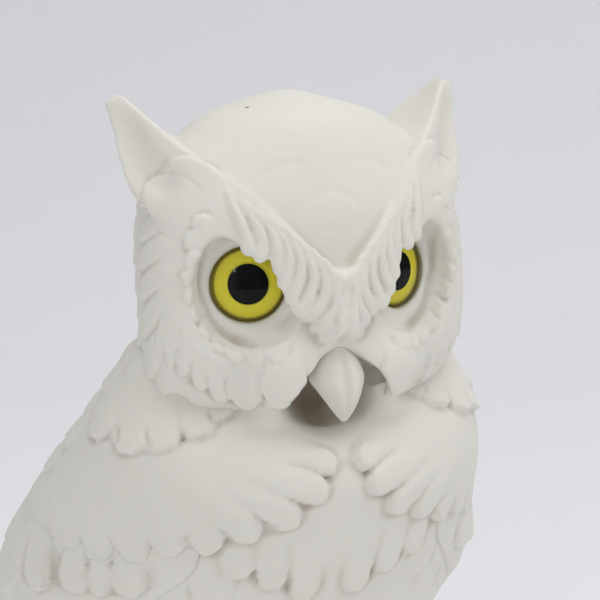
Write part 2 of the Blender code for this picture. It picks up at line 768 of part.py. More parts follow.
def build():
    """Make every piece and give it its material."""
    clear_scene()
    felt = make_felt()
    stump = make_stump()
    torso = make_torso_form()
    boolean(torso, make_cape(), "UNION")
    boolean(torso, make_collar(), "UNION")
    left_wing = make_wing("left_wing", 1, torso)
    right_wing = make_wing("right_wing", -1, torso)
    tail = make_tail(torso, (left_wing, right_wing))
    left_foot = make_foot("left_foot", 1, torso, stump)
    right_foot = make_foot("right_foot", -1, torso, stump)
    left = eye_frame()
    right = Matrix.Scale(-1, 4, Vector((1, 0, 0))) @ left
    beak = make_beak()
    head = make_head(torso, (left, right), beak)
    hollow_torso(torso)
    castings = (stump, torso, left_wing, right_wing, tail, left_foot, right_foot, beak, head)
    painted = [(felt, FELT, MATTE)]
    for piece in castings:
        painted.append((piece, BISQUE, MATTE))
    for frame, side_name in ((left, "left"), (right, "right")):
        for piece, colour in zip(make_eye(frame, side_name), (GLASS, BLACK, YELLOW, PUTTY)):
            painted.append((piece, colour, GLOSSY))
    for piece, colour, roughness in painted:
        piece.data.materials.clear()
        piece.data.materials.append(material(piece.name, colour, roughness))


build()
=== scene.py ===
"""Looks of the horned owl figurine: carved bisque skins over the castings, glass eyes, studio and camera."""

import math

import bpy
import numpy as np
import openvdb
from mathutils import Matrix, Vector


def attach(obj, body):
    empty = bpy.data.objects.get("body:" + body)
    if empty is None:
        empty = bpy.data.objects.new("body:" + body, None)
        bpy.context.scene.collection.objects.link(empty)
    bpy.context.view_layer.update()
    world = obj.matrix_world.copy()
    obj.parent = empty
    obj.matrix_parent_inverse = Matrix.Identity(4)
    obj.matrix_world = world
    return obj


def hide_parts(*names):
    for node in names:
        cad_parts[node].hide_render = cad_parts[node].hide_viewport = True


MM = 0.001
UP = np.array((0.0, 0.0, 1.0))
SIDES = (1, -1)
TINY = 1e-9

# Camera, in millimetres and degrees, as the photograph was taken
VIEW_AZIMUTH = -25.0
VIEW_ELEVATION = 12.0
VIEW_DISTANCE = 450.0
VIEW_TARGET = (0.0, -27.0, 145.8)
VIEW_PIXELS_PER_MM = 4.8
IMAGE_SIZE = 600
SENSOR_MM = 36.0

# Torso and skull sections: height, centre, half width, depth to the front and to the back
TORSO_STATIONS = (
    (40, 9, 13, 13, 13),
    (44, 10, 24, 23, 23),
    (52, 11, 34, 34, 31),
    (62, 12, 42, 43, 35),
    (73, 11, 47.5, 48, 38),
    (85, 7, 49.5, 48, 40),
    (98, 0, 49, 45.5, 39.5),
    (110, -10, 47, 40, 37),
    (118, -17, 44.5, 31, 34.5),
    (124, -20, 41.5, 22.5, 32.5),
    (128, -21.5, 39.5, 17, 30),
    (132, -22, 37, 16, 28),
    (137, -23.5, 34.5, 14, 27),
    (140, -25, 28, 11, 22),
)
SKULL_STATIONS = (
    (122, -26, 27, 10.5, 25),
    (128, -28, 32.5, 13.5, 31),
    (136, -30.5, 34.5, 14, 34),
    (146, -32, 35, 13.5, 36),
    (157, -31, 35, 14, 37.5),
    (168, -29, 33, 14.5, 36),
    (178, -25, 26.5, 13.5, 26),
    (184, -22, 19, 12, 16),
    (187.3, -20, 9, 7.5, 8),
)

# Brow ridge and ear tuft edges on the owl's left side
BROW_CREST = ((1.5, -48.5, 155), (10, -45, 163.5), (19.5, -37.5, 172.5), (29, -29, 181), (36.4, -20.8, 189.2))
BROW_LIP = (
    (3.0, -47.5, 144.5),
    (10.8, -46.5, 150),
    (14.7, -44.8, 156.8),
    (21.5, -41, 163),
    (35.5, -29, 169),
    (39, -19.3, 188.0),
)
BROW_ROOT = ((0.5, -36, 150), (8, -31, 160), (16, -22, 173), (25, -16, 180.5), (36.6, -17.2, 189.0))

# Eyes
EYE_CENTRE = (16.2, -37.0, 152.6)
EYE_YAW = math.radians(22)
EYE_PITCH = math.radians(4)
EYE_APERTURE = 15.0
EYE_FLANGE = 16.4

# Beak outline: height, half width, front and back
BEAK_ROWS = (
    (139.8, 1.6, -46.2, -42.0),
    (138.3, 3.5, -47.6, -40.0),
    (136.2, 5.2, -49.4, -38.0),
    (133.4, 6.1, -50.6, -38.0),
    (131.0, 4.9, -51.0, -41.0),
    (128.9, 3.6, -50.8, -43.5),
    (126.8, 2.2, -49.9, -45.6),
    (124.9, 0.6, -48.6, -47.4),
)
BEAK_SQUARE = 1.5

# Wings, tail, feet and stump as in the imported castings
WING_TOP = 95.0
WING_COVERED = 7.0
WING_TIP = 42.0
WING_HANG = 73.0
WING_TUCK = 0.35
WING_THICKNESS = 5.5
WING_EDGE = 1.2
WING_FRONT = (-56.0, 46.0)
WING_BACK = (58.0, 60.0)
TAIL_ROOT = (0.0, 39.0, 62.0)
TAIL_LENGTH = 56.0
TAIL_TILT = math.radians(24)
TAIL_HALF = (15.0, 20.0)
TAIL_THICKNESS = 8.0
FOOT_X = 13.5
FOOT_Y = -6.0
STUMP_TOP = 36.0
STUMP_DOME = 2.0
STUMP_RADIUS = 36.0
STUMP_FLARE = 5.0
STUMP_FLOOR = 1.8
TOE_LENGTH = 19.0
TOE_RADIUS = 4.8
TOE_ARCH = 3.5
TALON_DROP = 7.0
TOE_FAN = math.radians(27)
TOE_PATH = (
    (0.0, 0.0, 0.0, 1.0),
    (0.45, 1.0, 0.0, 1.05),
    (0.85, 0.6, 0.0, 0.95),
    (1.0, 0.0, 0.0, 0.75),
    (1.25, 0.0, 0.45, 0.5),
    (1.3, 0.0, 1.0, 0.12),
)

# Iron speck on the crown: node name, place in the photograph's pixels, radii in metres
SPECK_NODE = "speck"
SPECK_PIXEL = (247, 107)
SPECK_CORE = 0.0003
SPECK_RIM = 0.0006

# Head field: spacing and box, reach of its samples, and shaping of the skull
HEAD_STEP = 0.525
HEAD_RELAX = 2
HEAD_LOW = (-44.0, -54.0, 119.0)
HEAD_HIGH = (44.0, 14.0, 194.0)
BAND = 4.0
SKULL_BLUR = 2.0
SKULL_SPREAD = 20.0
SKULL_CAP = 4.0
SKULL_FOOT = 3.0
SKULL_LEAST_SLOPE = 0.35

# Forms of the head in millimetres, on the owl's left side or in the middle
DISH_AHEAD = 7.2
DISH_DROP = 1.0
DISH_RADII = (12.0, 13.0, 7.5)
DISH_BLEND = 1.0
LID_AHEAD = 0.9
LID_RING = (9.9, 2.7, 1.8)
LID_BLEND = 0.4
BROW_RINGS = 40
BROW_CORNER = (-0.3, -0.14, 0.0, 0.14, 0.3)
BROW_BLEND = 1.4
BROW_SWELL = 0.5
SCOOP_COUNT = 60
SCOOP_SPAN = range(45, 57, 2)
SCOOP_BACK = 4
SCOOP_SHARE = 0.45
SCOOP_AHEAD = 6.0
SCOOP_RADII = (6.6, 6.2)
SCOOP_BLEND = 0.8
BRIDGE = ((0, -46.0, 152.0), (0, -45.5, 145.0), (0, -43.5, 138.0))
BRIDGE_RADII = (3.2, 3.6, 3.0)
CHEEK_CENTRE = (10.0, -40.5, 135.5)
CHEEK_RADII = (9.5, 7.8, 8.5)
FACE_BLEND = 3.0
CHIN_CENTRE = (0, -48.0, 121.0)
CHIN_RADII = (17.5, 10.5, 9.5)
CHIN_BLEND = 1.0
ARCH = ((0, -50.5, 139.0), (0, -49.5, 133.5), (0, -45.0, 125.5), (0, -37.5, 120.5))
ARCH_RADII = (4.4, 7.0, 12.5, 11.5)
ARCH_BLEND = 0.6
POCKET_CENTRE = (8.5, -40.0, 131.0)
POCKET_RADII = (4.5, 5.0, 5.5)
POCKET_BLEND = 0.8
BORE_ENDS = (-12.0, 3.2)
BORE_PLAY = 0.2
BORE_BLEND = 0.4
EDGE_DROPS = (1.2, 4.2, 7.2)
EDGE_RADIUS = 3.4
EDGE_INWARD = 0.05
EDGE_BLEND = 0.5
STRAND_SEEN = (11.0, 3.5)
STRAND_STEPS = 24
STRAND_RADII = (0.7, 1.5, 1.75, 1.4)
STRAND_SINK = 0.5
STRAND_AIM = 12.0
STRAND_BLEND = 0.25
VALLEY_SEEN = (7.0, 3.5)
VALLEY_STEPS = 6

# Hollow under the beak, the seam beside it and the throat that fills it: centre and radii, the hollow's
# depth, the throat's rise, and the strength of the painted shadow in the hollow and the seam
HOLLOW_CENTRE = (0, -42, 128.5)
HOLLOW_RADII = (9.5, 15, 5.8)
HOLLOW_DEPTH = 10.0
SEAM_CENTRE = (0, -35, 131.0)
SEAM_RADII = (15, 7, 6)
THROAT_CENTRE = (13.0, -38.0, 128.0)
THROAT_RADII = (6.0, 10.0, 5.0)
THROAT_RISE = 6.5
# Strength of the painted shadow put into the hollow and the seam under the beak
THROAT_PAINTED_SHADE = 0.8

# Carving: how far a pixel looks, and the make of grooves and feathers in millimetres or shares of length
SEEN_REACH = 5.0
SEEN_DEPTH = 6.0
GROOVE_STEP = 0.35
GROOVE_LEAST = 4
GROOVE_REACH = 2.2
FEATHER_REACH = 0.62
FEATHER_FACING = 0.2
TIP_SLOPE = 1.3
ROOT_TAPER = 0.25
ROOT_FADE = (-0.02, 0.12)
FLARE_SOFTENING = 10.0
DITCH_COVER = (0.15, 0.5)
DITCH_LEAST = 0.2
DITCH_REACH = 1.2
DITCH_OFFSET = 0.2
DITCH_WIDTH = 0.35
DITCH_START = 0.25
DITCH_BACK = 0.1
DITCH_FADE = 0.2
RELAX_OUT = 0.5
RELAX_BACK = 0.52
CAVITY_REACHES = (2, 6)
CAVITY_SOFTEN = 2

# Manner of each kind of groove and feather
BRIDGE_CUT = {"width": 0.5, "depth": 0.7}
VALLEY_CUT = {"width": 0.35, "depth": 0.5, "gentle": 0.5, "start": 0.1, "end": 0.6}
CROWN_CUT = {"width": 0.35, "depth": 0.2, "gentle": 1.2}
DISH_CUT = {"width": 0.5, "depth": 0.8, "gentle": 1.6}
LAYER_CUT = {"width": 0.4, "depth": 1.3, "start": 0.0, "end": 0.8}
LAYER_CUT_SHARES = (0.12, 0.35, 0.6, 0.8)
TUFT_MANNER = {"base": 0.0, "edge": 0.6, "ditch": 0.25}
RUFF_MANNER = {"ditch": 0.3}
LOBE_MANNER = {"base": 0.35, "edge": 0.7, "ditch": 0.5}
RIM_MANNER = {"base": 0.1, "edge": 0.7, "ditch": 0.35}
LAYER_MANNER = {"base": 0.0, "shoulder": 0.78, "crown": 0.05, "edge": 0.8, "flare": 1.6, "ditch": 0.5}
LAYER_LENGTH = 2.2
HEM_MANNER = {"base": 0.0, "flare": 0.8, "shoulder": 0.7}
COVERT_MANNER = {"base": 0.3, "shoulder": 0.7, "ditch": 0.5}

# Shingle rows of the nape: heights, angles in degrees, pitch, length, half width and rise
NAPE_HEIGHTS = np.linspace(178, 128, 10)
NAPE_ANGLES = (20.0, 160.0)
NAPE_LAST = 162.0
NAPE_PITCH = 6.2
NAPE_FEATHER = (7.5, 3.4, 0.8)

# Torso grid, cape hem, and shingle rows: first angle and pitch in degrees, count, length, half width and rise
TORSO_AROUND = 400
TORSO_TALL = 230
HEM_SIDE = 93.0
HEM_RISE = 26.0
HEM_TURN = math.radians(21)
HEM_BACK = 9.0
BELLY_DROPS = (46, 38, 30, 22, 14)
BELLY_ROW = (30, 11, 16, 12, 4.8, 0.9)
BELLY_LOWEST = 48.0
HEM_DROP = 2.0
HEM_ROW = (72, 9, 13, 18, 4.6, 2.3)
BACK_HEIGHTS = (98, 106, 114, 121, 127)
BACK_ROW = (104, 9, 9, 10, 3.9, 1.2)

# Beak
BEAK_RINGS = 70
BEAK_SIDES = 64
BEAK_BLUNT = 0.12
BEAK_RELAX = 6
# Share of painted shade over the whole beak, standing for the brow's shadow on it
BEAK_PAINTED_SHADE = 0.15

# Wing grid, swelling, flight feathers and covert rows, in shares down and across the wing
WING_GRID = (150, 100)
WING_INNER = -1.2
WING_EASE = 1.4
WING_SWELL = (0.02, 0.9)
WING_ROUND = 0.4
FLIGHT_COUNT = 6
FLIGHT_ACROSS = (0.08, 0.84)
FLIGHT_TOP = 0.44
FLIGHT_END = 0.97
FLIGHT_STEP = 0.05
FLIGHT_LONGEST = 3
FLIGHT_HALF = (5.2, 0.35)
FLIGHT_RISE = 1.3
FLIGHT_SHOULDER = 0.8
COVERT_ROWS = ((0.28, 0.62, 8, 4.6, 1.5), (0.16, 0.42, 9, 4.4, 1.3), (0.06, 0.26, 10, 4.2, 1.1))
COVERT_SPAN = (0.36, 0.98)
COVERT_BASE = 0.2

# Tail
TAIL_GRID = (110, 120)
TAIL_END = (0.84, 0.2)
TAIL_THINNING = 0.55
TAIL_FEATHERS = (-2, 2, -1, 1, 0)
TAIL_SPACING = (0.36, 0.37)
TAIL_START = 6.0
TAIL_LIFT = 2.0
TAIL_STAGGER = (1.0, 1.5)
TAIL_HALF_FEATHER = 4.6
TAIL_RISE = (1.2, 0.2)
TAIL_MANNER = {"shoulder": 0.85, "base": 0.7, "edge": 0.9}

# Feet: field, leg, toe rings, seat on the stump and leg feathers
FOOT_STEP = 0.45
FOOT_RELAX = 3
FOOT_LOW = (-2.0, -38.0, 27.0)
FOOT_HIGH = (30.0, 14.0, 60.0)
HIP_BACK = 5.0
HIP_HEIGHT = 54.0
LEG_RADII = (7.5, 10.2, 10.5)
LEG_SWELL_AT = 0.35
LEG_BLEND = 2.0
TOE_STEPS = 40
TOE_SLIM = 0.92
TOE_BLEND = 0.5
TOE_RIPPLE = (0.05, 1.9, 24)
SEAT_REACH = 0.9
SEAT_FALL = -2.5
SEAT_SINK = 0.6
SEAT_EDGE = 1.5
LEG_ROWS = (47.5, 43.0)
LEG_COUNT = 9
LEG_REACH = 10.0
LEG_TUCK = 0.95
LEG_FEATHER = (5.0, 3.4, 0.9)

# Stump: grid, flutes, rounded shoulder, domed top and bark grooves
STUMP_AROUND = 300
STUMP_SIDE_RINGS = 110
STUMP_TOP_SHARES = np.linspace(0.04, 0.985, 60)
STUMP_FLUTES = 15
STUMP_FLUTE_DEPTH = 1.6
STUMP_SWAY = (0.6, 4, 1.0)
STUMP_SHOULDER = 2.0
STUMP_ROUNDING = 3.6
STUMP_ROUNDING_RATE = 1.6
STUMP_CROWN = 0.4
STUMP_INSET = 0.866
BARK_SEED = 7
BARK_COUNT = 34
BARK_JITTER = 0.6
BARK_FIRST = (0.0, 0.35)
BARK_LENGTH = (0.45, 0.65)
BARK_STEPS = 7
BARK_WANDER = 0.022
BARK_TALL = 33.0
BARK_WIDTH = 0.5
BARK_DEPTH = (0.4, 0.8)
BARK_GENTLE = 1.4

# Eye profiles: dome, iris and pupil, as radius and place along the eye's axis
DOME_PLAY = 0.15
DOME_FLANGE = (-0.6, -0.05)
DOME_ANGLES = np.linspace(0.06, 1.45, 14)
DOME_BASE = 1.6
DOME_RISE = 2.6
IRIS_RADII = np.linspace(7.9, 0.4, 24)
IRIS_BACK = -1.5
IRIS_FRONT = 1.3
IRIS_SLOPE = 0.05
PUPIL_PROFILE = ((4.1, 0.5), (4.1, 1.75), (3.9, 1.8))
EYE_SEGMENTS = 64

# Finishes: linear colours, scales per metre and lengths in metres
BISQUE_DARK = (0.77, 0.745, 0.675, 1)
BISQUE_LIGHT = (0.82, 0.80, 0.735, 1)
# Painted shade: warm brown mixed into the bisque in creases, grooves and undercuts
PAINTED_SHADE_COLOUR = (0.50, 0.43, 0.345, 1)
SPECK_COLOUR = (0.30, 0.27, 0.25, 1)
# Values of the painted shade attribute over which the painted shade ramps from none to full
PAINTED_SHADE_RANGE = (0.03, 0.38)
CLOUD_SCALE = 60.0
CLOUD_DETAIL = 4.0
GRAIN_SCALE = 2600.0
GRAIN_DETAIL = 3.0
GRAIN_STRENGTH = 0.10
GRAIN_DEPTH = 0.0002
BISQUE_ROUGHNESS = (0.55, 0.72)
BISQUE_SPECULAR = 0.35
BISQUE_SUBSURFACE = 0.25
BISQUE_SUBSURFACE_RADIUS = (1.0, 0.75, 0.55)
BISQUE_SUBSURFACE_SCALE = 0.0025
GLASS_ROUGHNESS = 0.03
GLASS_IOR = 1.25
# Iris colour by share of its radius: yellow enamel, then painted shade of the socket, olive brown at the rim
IRIS_AND_SHADE_STOPS = (
    (0.0, (0.93, 0.83, 0.02, 1)),
    (0.84, (0.93, 0.83, 0.02, 1)),
    (0.93, (0.34, 0.28, 0.02, 1)),
    (1.0, (0.12, 0.09, 0.02, 1)),
)
IRIS_STREAK_SCALE = 900.0
IRIS_STREAK_SHARE = 0.15
IRIS_ROUGHNESS = 0.45
PUPIL_COLOUR = (0.003, 0.003, 0.003)
PUPIL_ROUGHNESS = 0.5
PUPIL_SPECULAR = 0.05
PUTTY = {"colour": (0.5, 0.46, 0.4), "roughness": 0.9, "grain": 0.6, "scale": 1500.0}
FELT = {"colour": (0.05, 0.09, 0.055), "roughness": 0.95, "grain": 0.8, "scale": 2500.0}
PAPER = {"colour": (0.89, 0.89, 0.91), "roughness": 0.9}
PLAIN_GRAIN_DEPTH = 0.0004

# Studio in metres: floor and backdrop, area lights by place, size and power, and the sky
FLOOR_NEAR = -1.2
FLOOR_FAR = 0.5
SWEEP_RADIUS = 0.35
SWEEP_STEPS = 12
BACKDROP_TOP = 1.6
BACKDROP_HALF = 2.0
LIGHTS = (
    ("top_light", (0.25, -0.15, 0.95), 0.9, 2.7),
    ("key_light", (0.75, -0.75, 0.65), 0.7, 2.2),
    ("fill_light", (-0.9, -0.6, 0.35), 0.9, 1.9),
    ("front_light", (-0.5, -1.1, 0.5), 0.9, 0.2),
    ("catch_light", (-0.615, -0.776, 0.462), 0.05, 0.6),
)
SKY_STOPS = ((0.35, (0.10, 0.10, 0.11, 1)), (0.85, (0.98, 0.99, 1.0, 1)))
SKY_STRENGTH = 0.87

# Carving on the owl's right half, as seen in the photograph's frame, in pixels from its top left corner
BROW_STRANDS = (
    ((226, 191), (238, 214), (245, 238), (247, 250)),
    ((240, 201), (254, 220), (261, 242), (260, 260)),
    ((256, 211), (270, 228), (277, 248), (273, 272)),
    ((272, 222), (285, 240), (290, 260), (282, 285)),
    ((287, 231), (299, 250), (302, 273), (290, 300)),
    ((299, 240), (312, 261), (315, 283), (303, 308), (295, 311)),
    ((313, 251), (325, 274), (327, 294), (315, 314), (304, 318)),
    ((326, 262), (335, 283), (336, 305), (325, 323), (313, 328)),
    ((338, 276), (342, 297), (343, 318), (337, 332), (324, 338)),
)
BRIDGE_GROOVES = (
    ((344, 280), (346, 303), (346, 334)),
    ((337, 318), (336, 328), (329, 338)),
)
CROWN_GROOVES = (
    ((309, 211), (315, 199), (326, 193), (337, 192), (349, 196), (358, 204), (361, 210)),
    ((324, 235), (332, 231), (341, 234)),
    ((259, 186), (268, 174), (285, 166), (310, 163)),
    ((229, 153), (239, 140), (254, 134)),
)
CROWN_MIDDLE = 2
# Feathers of the face: root, tip, half width and rise in millimetres
RIM_FEATHERS = (
    ((214, 232), (191, 221), 2.5, 0.85),
    ((208, 244), (183, 238), 2.5, 0.85),
    ((205, 258), (180, 256), 2.5, 0.85),
    ((204, 274), (180, 276), 2.5, 0.85),
    ((206, 290), (182, 296), 2.5, 0.85),
    ((211, 306), (189, 316), 2.5, 0.85),
    ((219, 320), (201, 336), 2.5, 0.85),
    ((230, 331), (217, 352), 2.5, 0.85),
    ((242, 338), (235, 363), 2.6, 0.85),
    ((258, 341), (257, 368), 2.6, 0.85),
    ((274, 338), (278, 364), 2.6, 0.85),
)
LOBE_FEATHERS = (
    ((196, 340), (182, 374), 2.4, 1.1),
    ((210, 350), (200, 390), 2.8, 1.2),
    ((228, 356), (220, 402), 3.3, 1.3),
    ((252, 358), (246, 407), 4.0, 1.4),
    ((284, 352), (282, 405), 4.8, 1.3),
)
TUFT_FEATHERS = (
    ((222, 214), (166, 166), 6.0, 0.6),
    ((204, 232), (149, 180), 5.6, 0.6),
)
DISH_GROOVE = (
    (216, 236), (205, 250), (200, 270), (200, 288), (204, 304),
    (218, 329), (240, 345), (265, 347), (287, 335), (295, 316),
)
CHEEK_EDGE = ((166, 372), (184, 389), (202, 401), (222, 409), (246, 414), (270, 413), (290, 405), (303, 390))
RUFF_FEATHERS = (
    ((172, 188), (142, 212), 2.6, 0.85),
    ((172, 214), (141, 240), 2.6, 0.85),
    ((172, 240), (140, 267), 2.6, 0.85),
    ((172, 267), (141, 298), 2.6, 0.85),
    ((173, 293), (143, 334), 2.6, 0.85),
    ((177, 306), (158, 353), 2.4, 0.8),
    ((182, 318), (169, 367), 2.4, 0.8),
    ((190, 332), (183, 382), 2.4, 0.8),
    ((165, 330), (148, 382), 2.8, 0.9),
)
# Feathers of the breast: collar, cape hem and the layer under it
COLLAR_FEATHERS = (
    ((104, 410), (104, 436), 4.6, 1.5),
    ((130, 418), (136, 453), 5.0, 1.6),
    ((158, 415), (166, 450), 4.8, 1.6),
    ((192, 408), (203, 437), 4.6, 1.5),
    ((212, 396), (226, 417), 3.6, 1.3),
)
HEM_FEATHERS = (
    ((305, 456), (338, 467), 3.2, 2.2),
    ((281, 481), (329, 493), 3.7, 2.3),
    ((256, 506), (302, 517), 4.0, 2.4),
    ((217, 511), (260, 534), 4.3, 2.4),
    ((188, 522), (219, 546), 4.4, 2.4),
    ((152, 520), (180, 551), 4.6, 2.4),
    ((118, 518), (143, 558), 5.0, 2.4),
    ((91, 517), (106, 562), 5.4, 2.4),
    ((71, 520), (73, 548), 6.0, 2.4),
)
BELLY_FEATHERS = (
    ((236, 548), (239, 578), 3.7, 1.5),
    ((270, 556), (273, 588), 3.7, 1.5),
    ((303, 564), (306, 600), 3.6, 1.4),
)
# Hanging feathers under the hem, on the wing
COVERT_FEATHERS = (
    ((130, 548), (127, 597), 4.4, 1.6),
    ((100, 548), (99, 596), 3.4, 1.6),
    ((76, 536), (73, 594), 4.4, 1.6),
    ((44, 520), (38, 590), 5.0, 1.6),
)


def spline(a, b, c, d, t):
    """Smooth curve from b to c, with a before and d after them."""
    return b + 0.5 * t * (c - a + t * (2 * a - 5 * b + 4 * c - d + t * (3 * (b - c) + d - a)))


def catmull(rows, count):
    """Evenly spaced points of a smooth curve through the rows."""
    rows = np.asarray(rows, float)
    last = len(rows) - 1
    at = np.linspace(0, last, count)
    index = np.minimum(at.astype(int), last - 1)
    t = (at - index)[:, None]
    padded = np.vstack([2 * rows[0] - rows[1], rows, 2 * rows[-1] - rows[-2]])
    return spline(*(padded[index + k] for k in range(4)), t)


def sections(rows, heights):
    """Sections of a station list at the given heights, on its smooth curve."""
    rows = np.asarray(rows, float)
    last = len(rows) - 1
    heights = np.clip(heights, rows[0, 0], rows[-1, 0])
    index = np.clip(np.searchsorted(rows[:, 0], heights, side="right") - 1, 0, last - 1)
    t = ((heights - rows[index, 0]) / (rows[index + 1, 0] - rows[index, 0]))[..., None]
    a = rows[np.maximum(index - 1, 0), 1:]
    b = rows[index, 1:]
    c = rows[index + 1, 1:]
    d = rows[np.minimum(index + 2, last), 1:]
    return spline(a, b, c, d, t)


def smooth_step(low, high, value):
    """Smooth ramp from 0 at low to 1 at high."""
    t = np.clip((value - low) / (high - low), 0, 1)
    return t * t * (3 - 2 * t)


def unit(v):
    """Vector or rows of vectors at length one."""
    v = np.asarray(v, float)
    return v / np.maximum(np.linalg.norm(v, axis=-1, keepdims=True), TINY)


class Field:
    """Signed distance samples on a box, in millimetres, joined and cut shape by shape."""

    def __init__(self, low, high, step):
        self.low = np.asarray(low, float)
        self.step = step
        count = np.ceil((np.asarray(high) - self.low) / step).astype(int) + 1
        self.axes = [self.low[k] + step * np.arange(count[k]) for k in range(3)]
        self.value = np.full(tuple(count), BAND, np.float32)

    def part(self, low, high):
        """Slices and broadcastable coordinates of a sub-box."""
        cut = []
        for k in range(3):
            first = max(int((low[k] - self.low[k]) / self.step), 0)
            final = min(int((high[k] - self.low[k]) / self.step) + 2, len(self.axes[k]))
            cut.append(slice(first, max(final, first + 1)))
        x = self.axes[0][cut[0]][:, None, None]
        y = self.axes[1][cut[1]][None, :, None]
        z = self.axes[2][cut[2]][None, None, :]
        return tuple(cut), x, y, z

    def join(self, cut, away, blend, carve=False):
        """Join a shape on or carve it away, rounded by the blend length."""
        sign = -1 if carve else 1
        mine = self.value[cut]
        other = sign * away.astype(np.float32)
        h = np.clip(0.5 + sign * 0.5 * (other - mine) / blend, 0, 1)
        self.value[cut] = other * (1 - h) + mine * h - sign * blend * h * (1 - h)

    def capsules(self, points, radii, blend, carve=False):
        """Chain of tapered round links through the points."""
        for p, q, a, b in zip(points, points[1:], radii, radii[1:]):
            reach = max(a, b) + BAND
            cut, x, y, z = self.part(np.minimum(p, q) - reach, np.maximum(p, q) + reach)
            way = q - p
            size = max(float(way @ way), TINY)
            t = np.clip(((x - p[0]) * way[0] + (y - p[1]) * way[1] + (z - p[2]) * way[2]) / size, 0, 1)
            away = np.sqrt(
                (x - p[0] - t * way[0]) ** 2 + (y - p[1] - t * way[1]) ** 2 + (z - p[2] - t * way[2]) ** 2
            ) - (a + (b - a) * t)
            self.join(cut, away, blend, carve)

    def ellipsoid(self, centre, axes, radii, blend, carve=False):
        """Ellipsoid with its own unit axes as rows."""
        reach = max(radii) + BAND
        centre = np.asarray(centre, float)
        cut, x, y, z = self.part(centre - reach, centre + reach)
        total = 0
        slope = 0
        for axis, radius in zip(axes, radii):
            along = (x - centre[0]) * axis[0] + (y - centre[1]) * axis[1] + (z - centre[2]) * axis[2]
            total = total + (along / radius) ** 2
            slope = slope + (along / radius ** 2) ** 2
        root = np.sqrt(total)
        away = root * (root - 1) / np.maximum(np.sqrt(slope), TINY)
        away = np.maximum(away, -BAND)
        self.join(cut, away, blend, carve)

    def solid(self, points, quads, blend, swell=0.0):
        """Closed mesh, through its level set."""
        reach = BAND + self.step
        cut, x, y, z = self.part(points.min(0) - reach, points.max(0) + reach)
        origin = np.array((x.flat[0], y.flat[0], z.flat[0]))
        shape = tuple(s.stop - s.start for s in cut)
        local = ((points - origin) / self.step).astype(np.float32)
        band = BAND / self.step
        corners = quads.astype(np.uint32)
        grid = openvdb.FloatGrid.createLevelSetFromPolygons(local, quads=corners, halfWidth=band)
        block = np.full(shape, band, np.float32)
        grid.copyToArray(block)
        self.join(cut, block * np.float32(self.step) - np.float32(swell), blend)

    def blur(self, reach, rounds=3):
        """Soften the samples with running means along each axis."""
        size = 2 * int(reach / self.step) + 1
        for _ in range(rounds):
            for axis in range(3):
                pad = [(0, 0)] * 3
                pad[axis] = (size // 2 + 1, size // 2)
                total = np.cumsum(np.pad(self.value, pad, mode="edge"), axis=axis, dtype=np.float64)
                ahead = np.take(total, np.arange(size, total.shape[axis]), axis=axis)
                behind = np.take(total, np.arange(0, total.shape[axis] - size), axis=axis)
                self.value = ((ahead - behind) / size).astype(np.float32)

    def mesh(self):
        """Vertices in millimetres and quads of the zero surface."""
        grid = openvdb.FloatGrid()
        grid.background = BAND
        grid.copyFromArray(np.clip(self.value, -BAND, BAND))
        points, quads = grid.convertToQuads(0.0)
        return self.low + points.astype(float) * self.step, quads.astype(int)


def loft_quads(rings):
    """Points and quads of a closed loft through rings, with its ends pinched to their centres."""
    rings = np.asarray(rings, float)
    first = np.repeat(rings[:1].mean(1, keepdims=True), rings.shape[1], 1)
    final = np.repeat(rings[-1:].mean(1, keepdims=True), rings.shape[1], 1)
    rings = np.concatenate([first, rings, final])
    rows, count = rings.shape[:2]
    k = np.arange(count)
    after = (k + 1) % count
    quads = []
    for row in range(rows - 1):
        low = row * count
        high = low + count
        quads.append(np.stack([low + k, low + after, high + after, high + k], 1))
    return rings.reshape(-1, 3), np.concatenate(quads)


def neighbours(quads):
    """Both directions of every edge of the quads."""
    edges = np.concatenate([quads[:, (k, (k + 1) % quads.shape[1])] for k in range(quads.shape[1])])
    edges = np.unique(np.sort(edges, 1), axis=0)
    return np.concatenate([edges, edges[:, ::-1]])


def averaged(values, links, count):
    """Mean of each vertex's neighbours."""
    number = np.maximum(np.bincount(links[:, 0], minlength=count), 1)
    if values.ndim == 1:
        return np.bincount(links[:, 0], values[links[:, 1]], count) / number
    return np.stack([averaged(values[:, k], links, count) for k in range(values.shape[1])], 1)


def relaxed(points, links, rounds):
    """Points moved towards their neighbours' mean and back, which smooths without shrinking."""
    for _ in range(rounds):
        points = points + RELAX_OUT * (averaged(points, links, len(points)) - points)
        points = points - RELAX_BACK * (averaged(points, links, len(points)) - points)
    return points


def normals_of(points, quads):
    """Area-weighted vertex normals."""
    across = np.cross(points[quads[:, 2]] - points[quads[:, 0]], points[quads[:, 3]] - points[quads[:, 1]])
    total = np.zeros_like(points)
    for k in range(4):
        for axis in range(3):
            total[:, axis] += np.bincount(quads[:, k], across[:, axis], len(points))
    return unit(total)


def outward(points, quads):
    """Quads turned so that their normals point out of the form."""
    if np.einsum("ij,ij->", normals_of(points, quads), points - points.mean(0)) < 0:
        return quads[:, ::-1]
    return quads


def soft_share(points, centre, radii):
    """Share of a soft ball at each point, from 0 outside it to 1 in its middle."""
    away = ((points - np.array(centre)) / np.array(radii)) ** 2
    return np.exp(-2 * away.sum(1))


def camera_axes():
    """Right, up and backward axes of the camera."""
    turn = math.radians(VIEW_AZIMUTH)
    tilt = math.radians(VIEW_ELEVATION)
    back = np.array((math.sin(turn) * math.cos(tilt), -math.cos(turn) * math.cos(tilt), math.sin(tilt)))
    right = unit(np.cross(UP, back))
    return right, np.cross(back, right), back


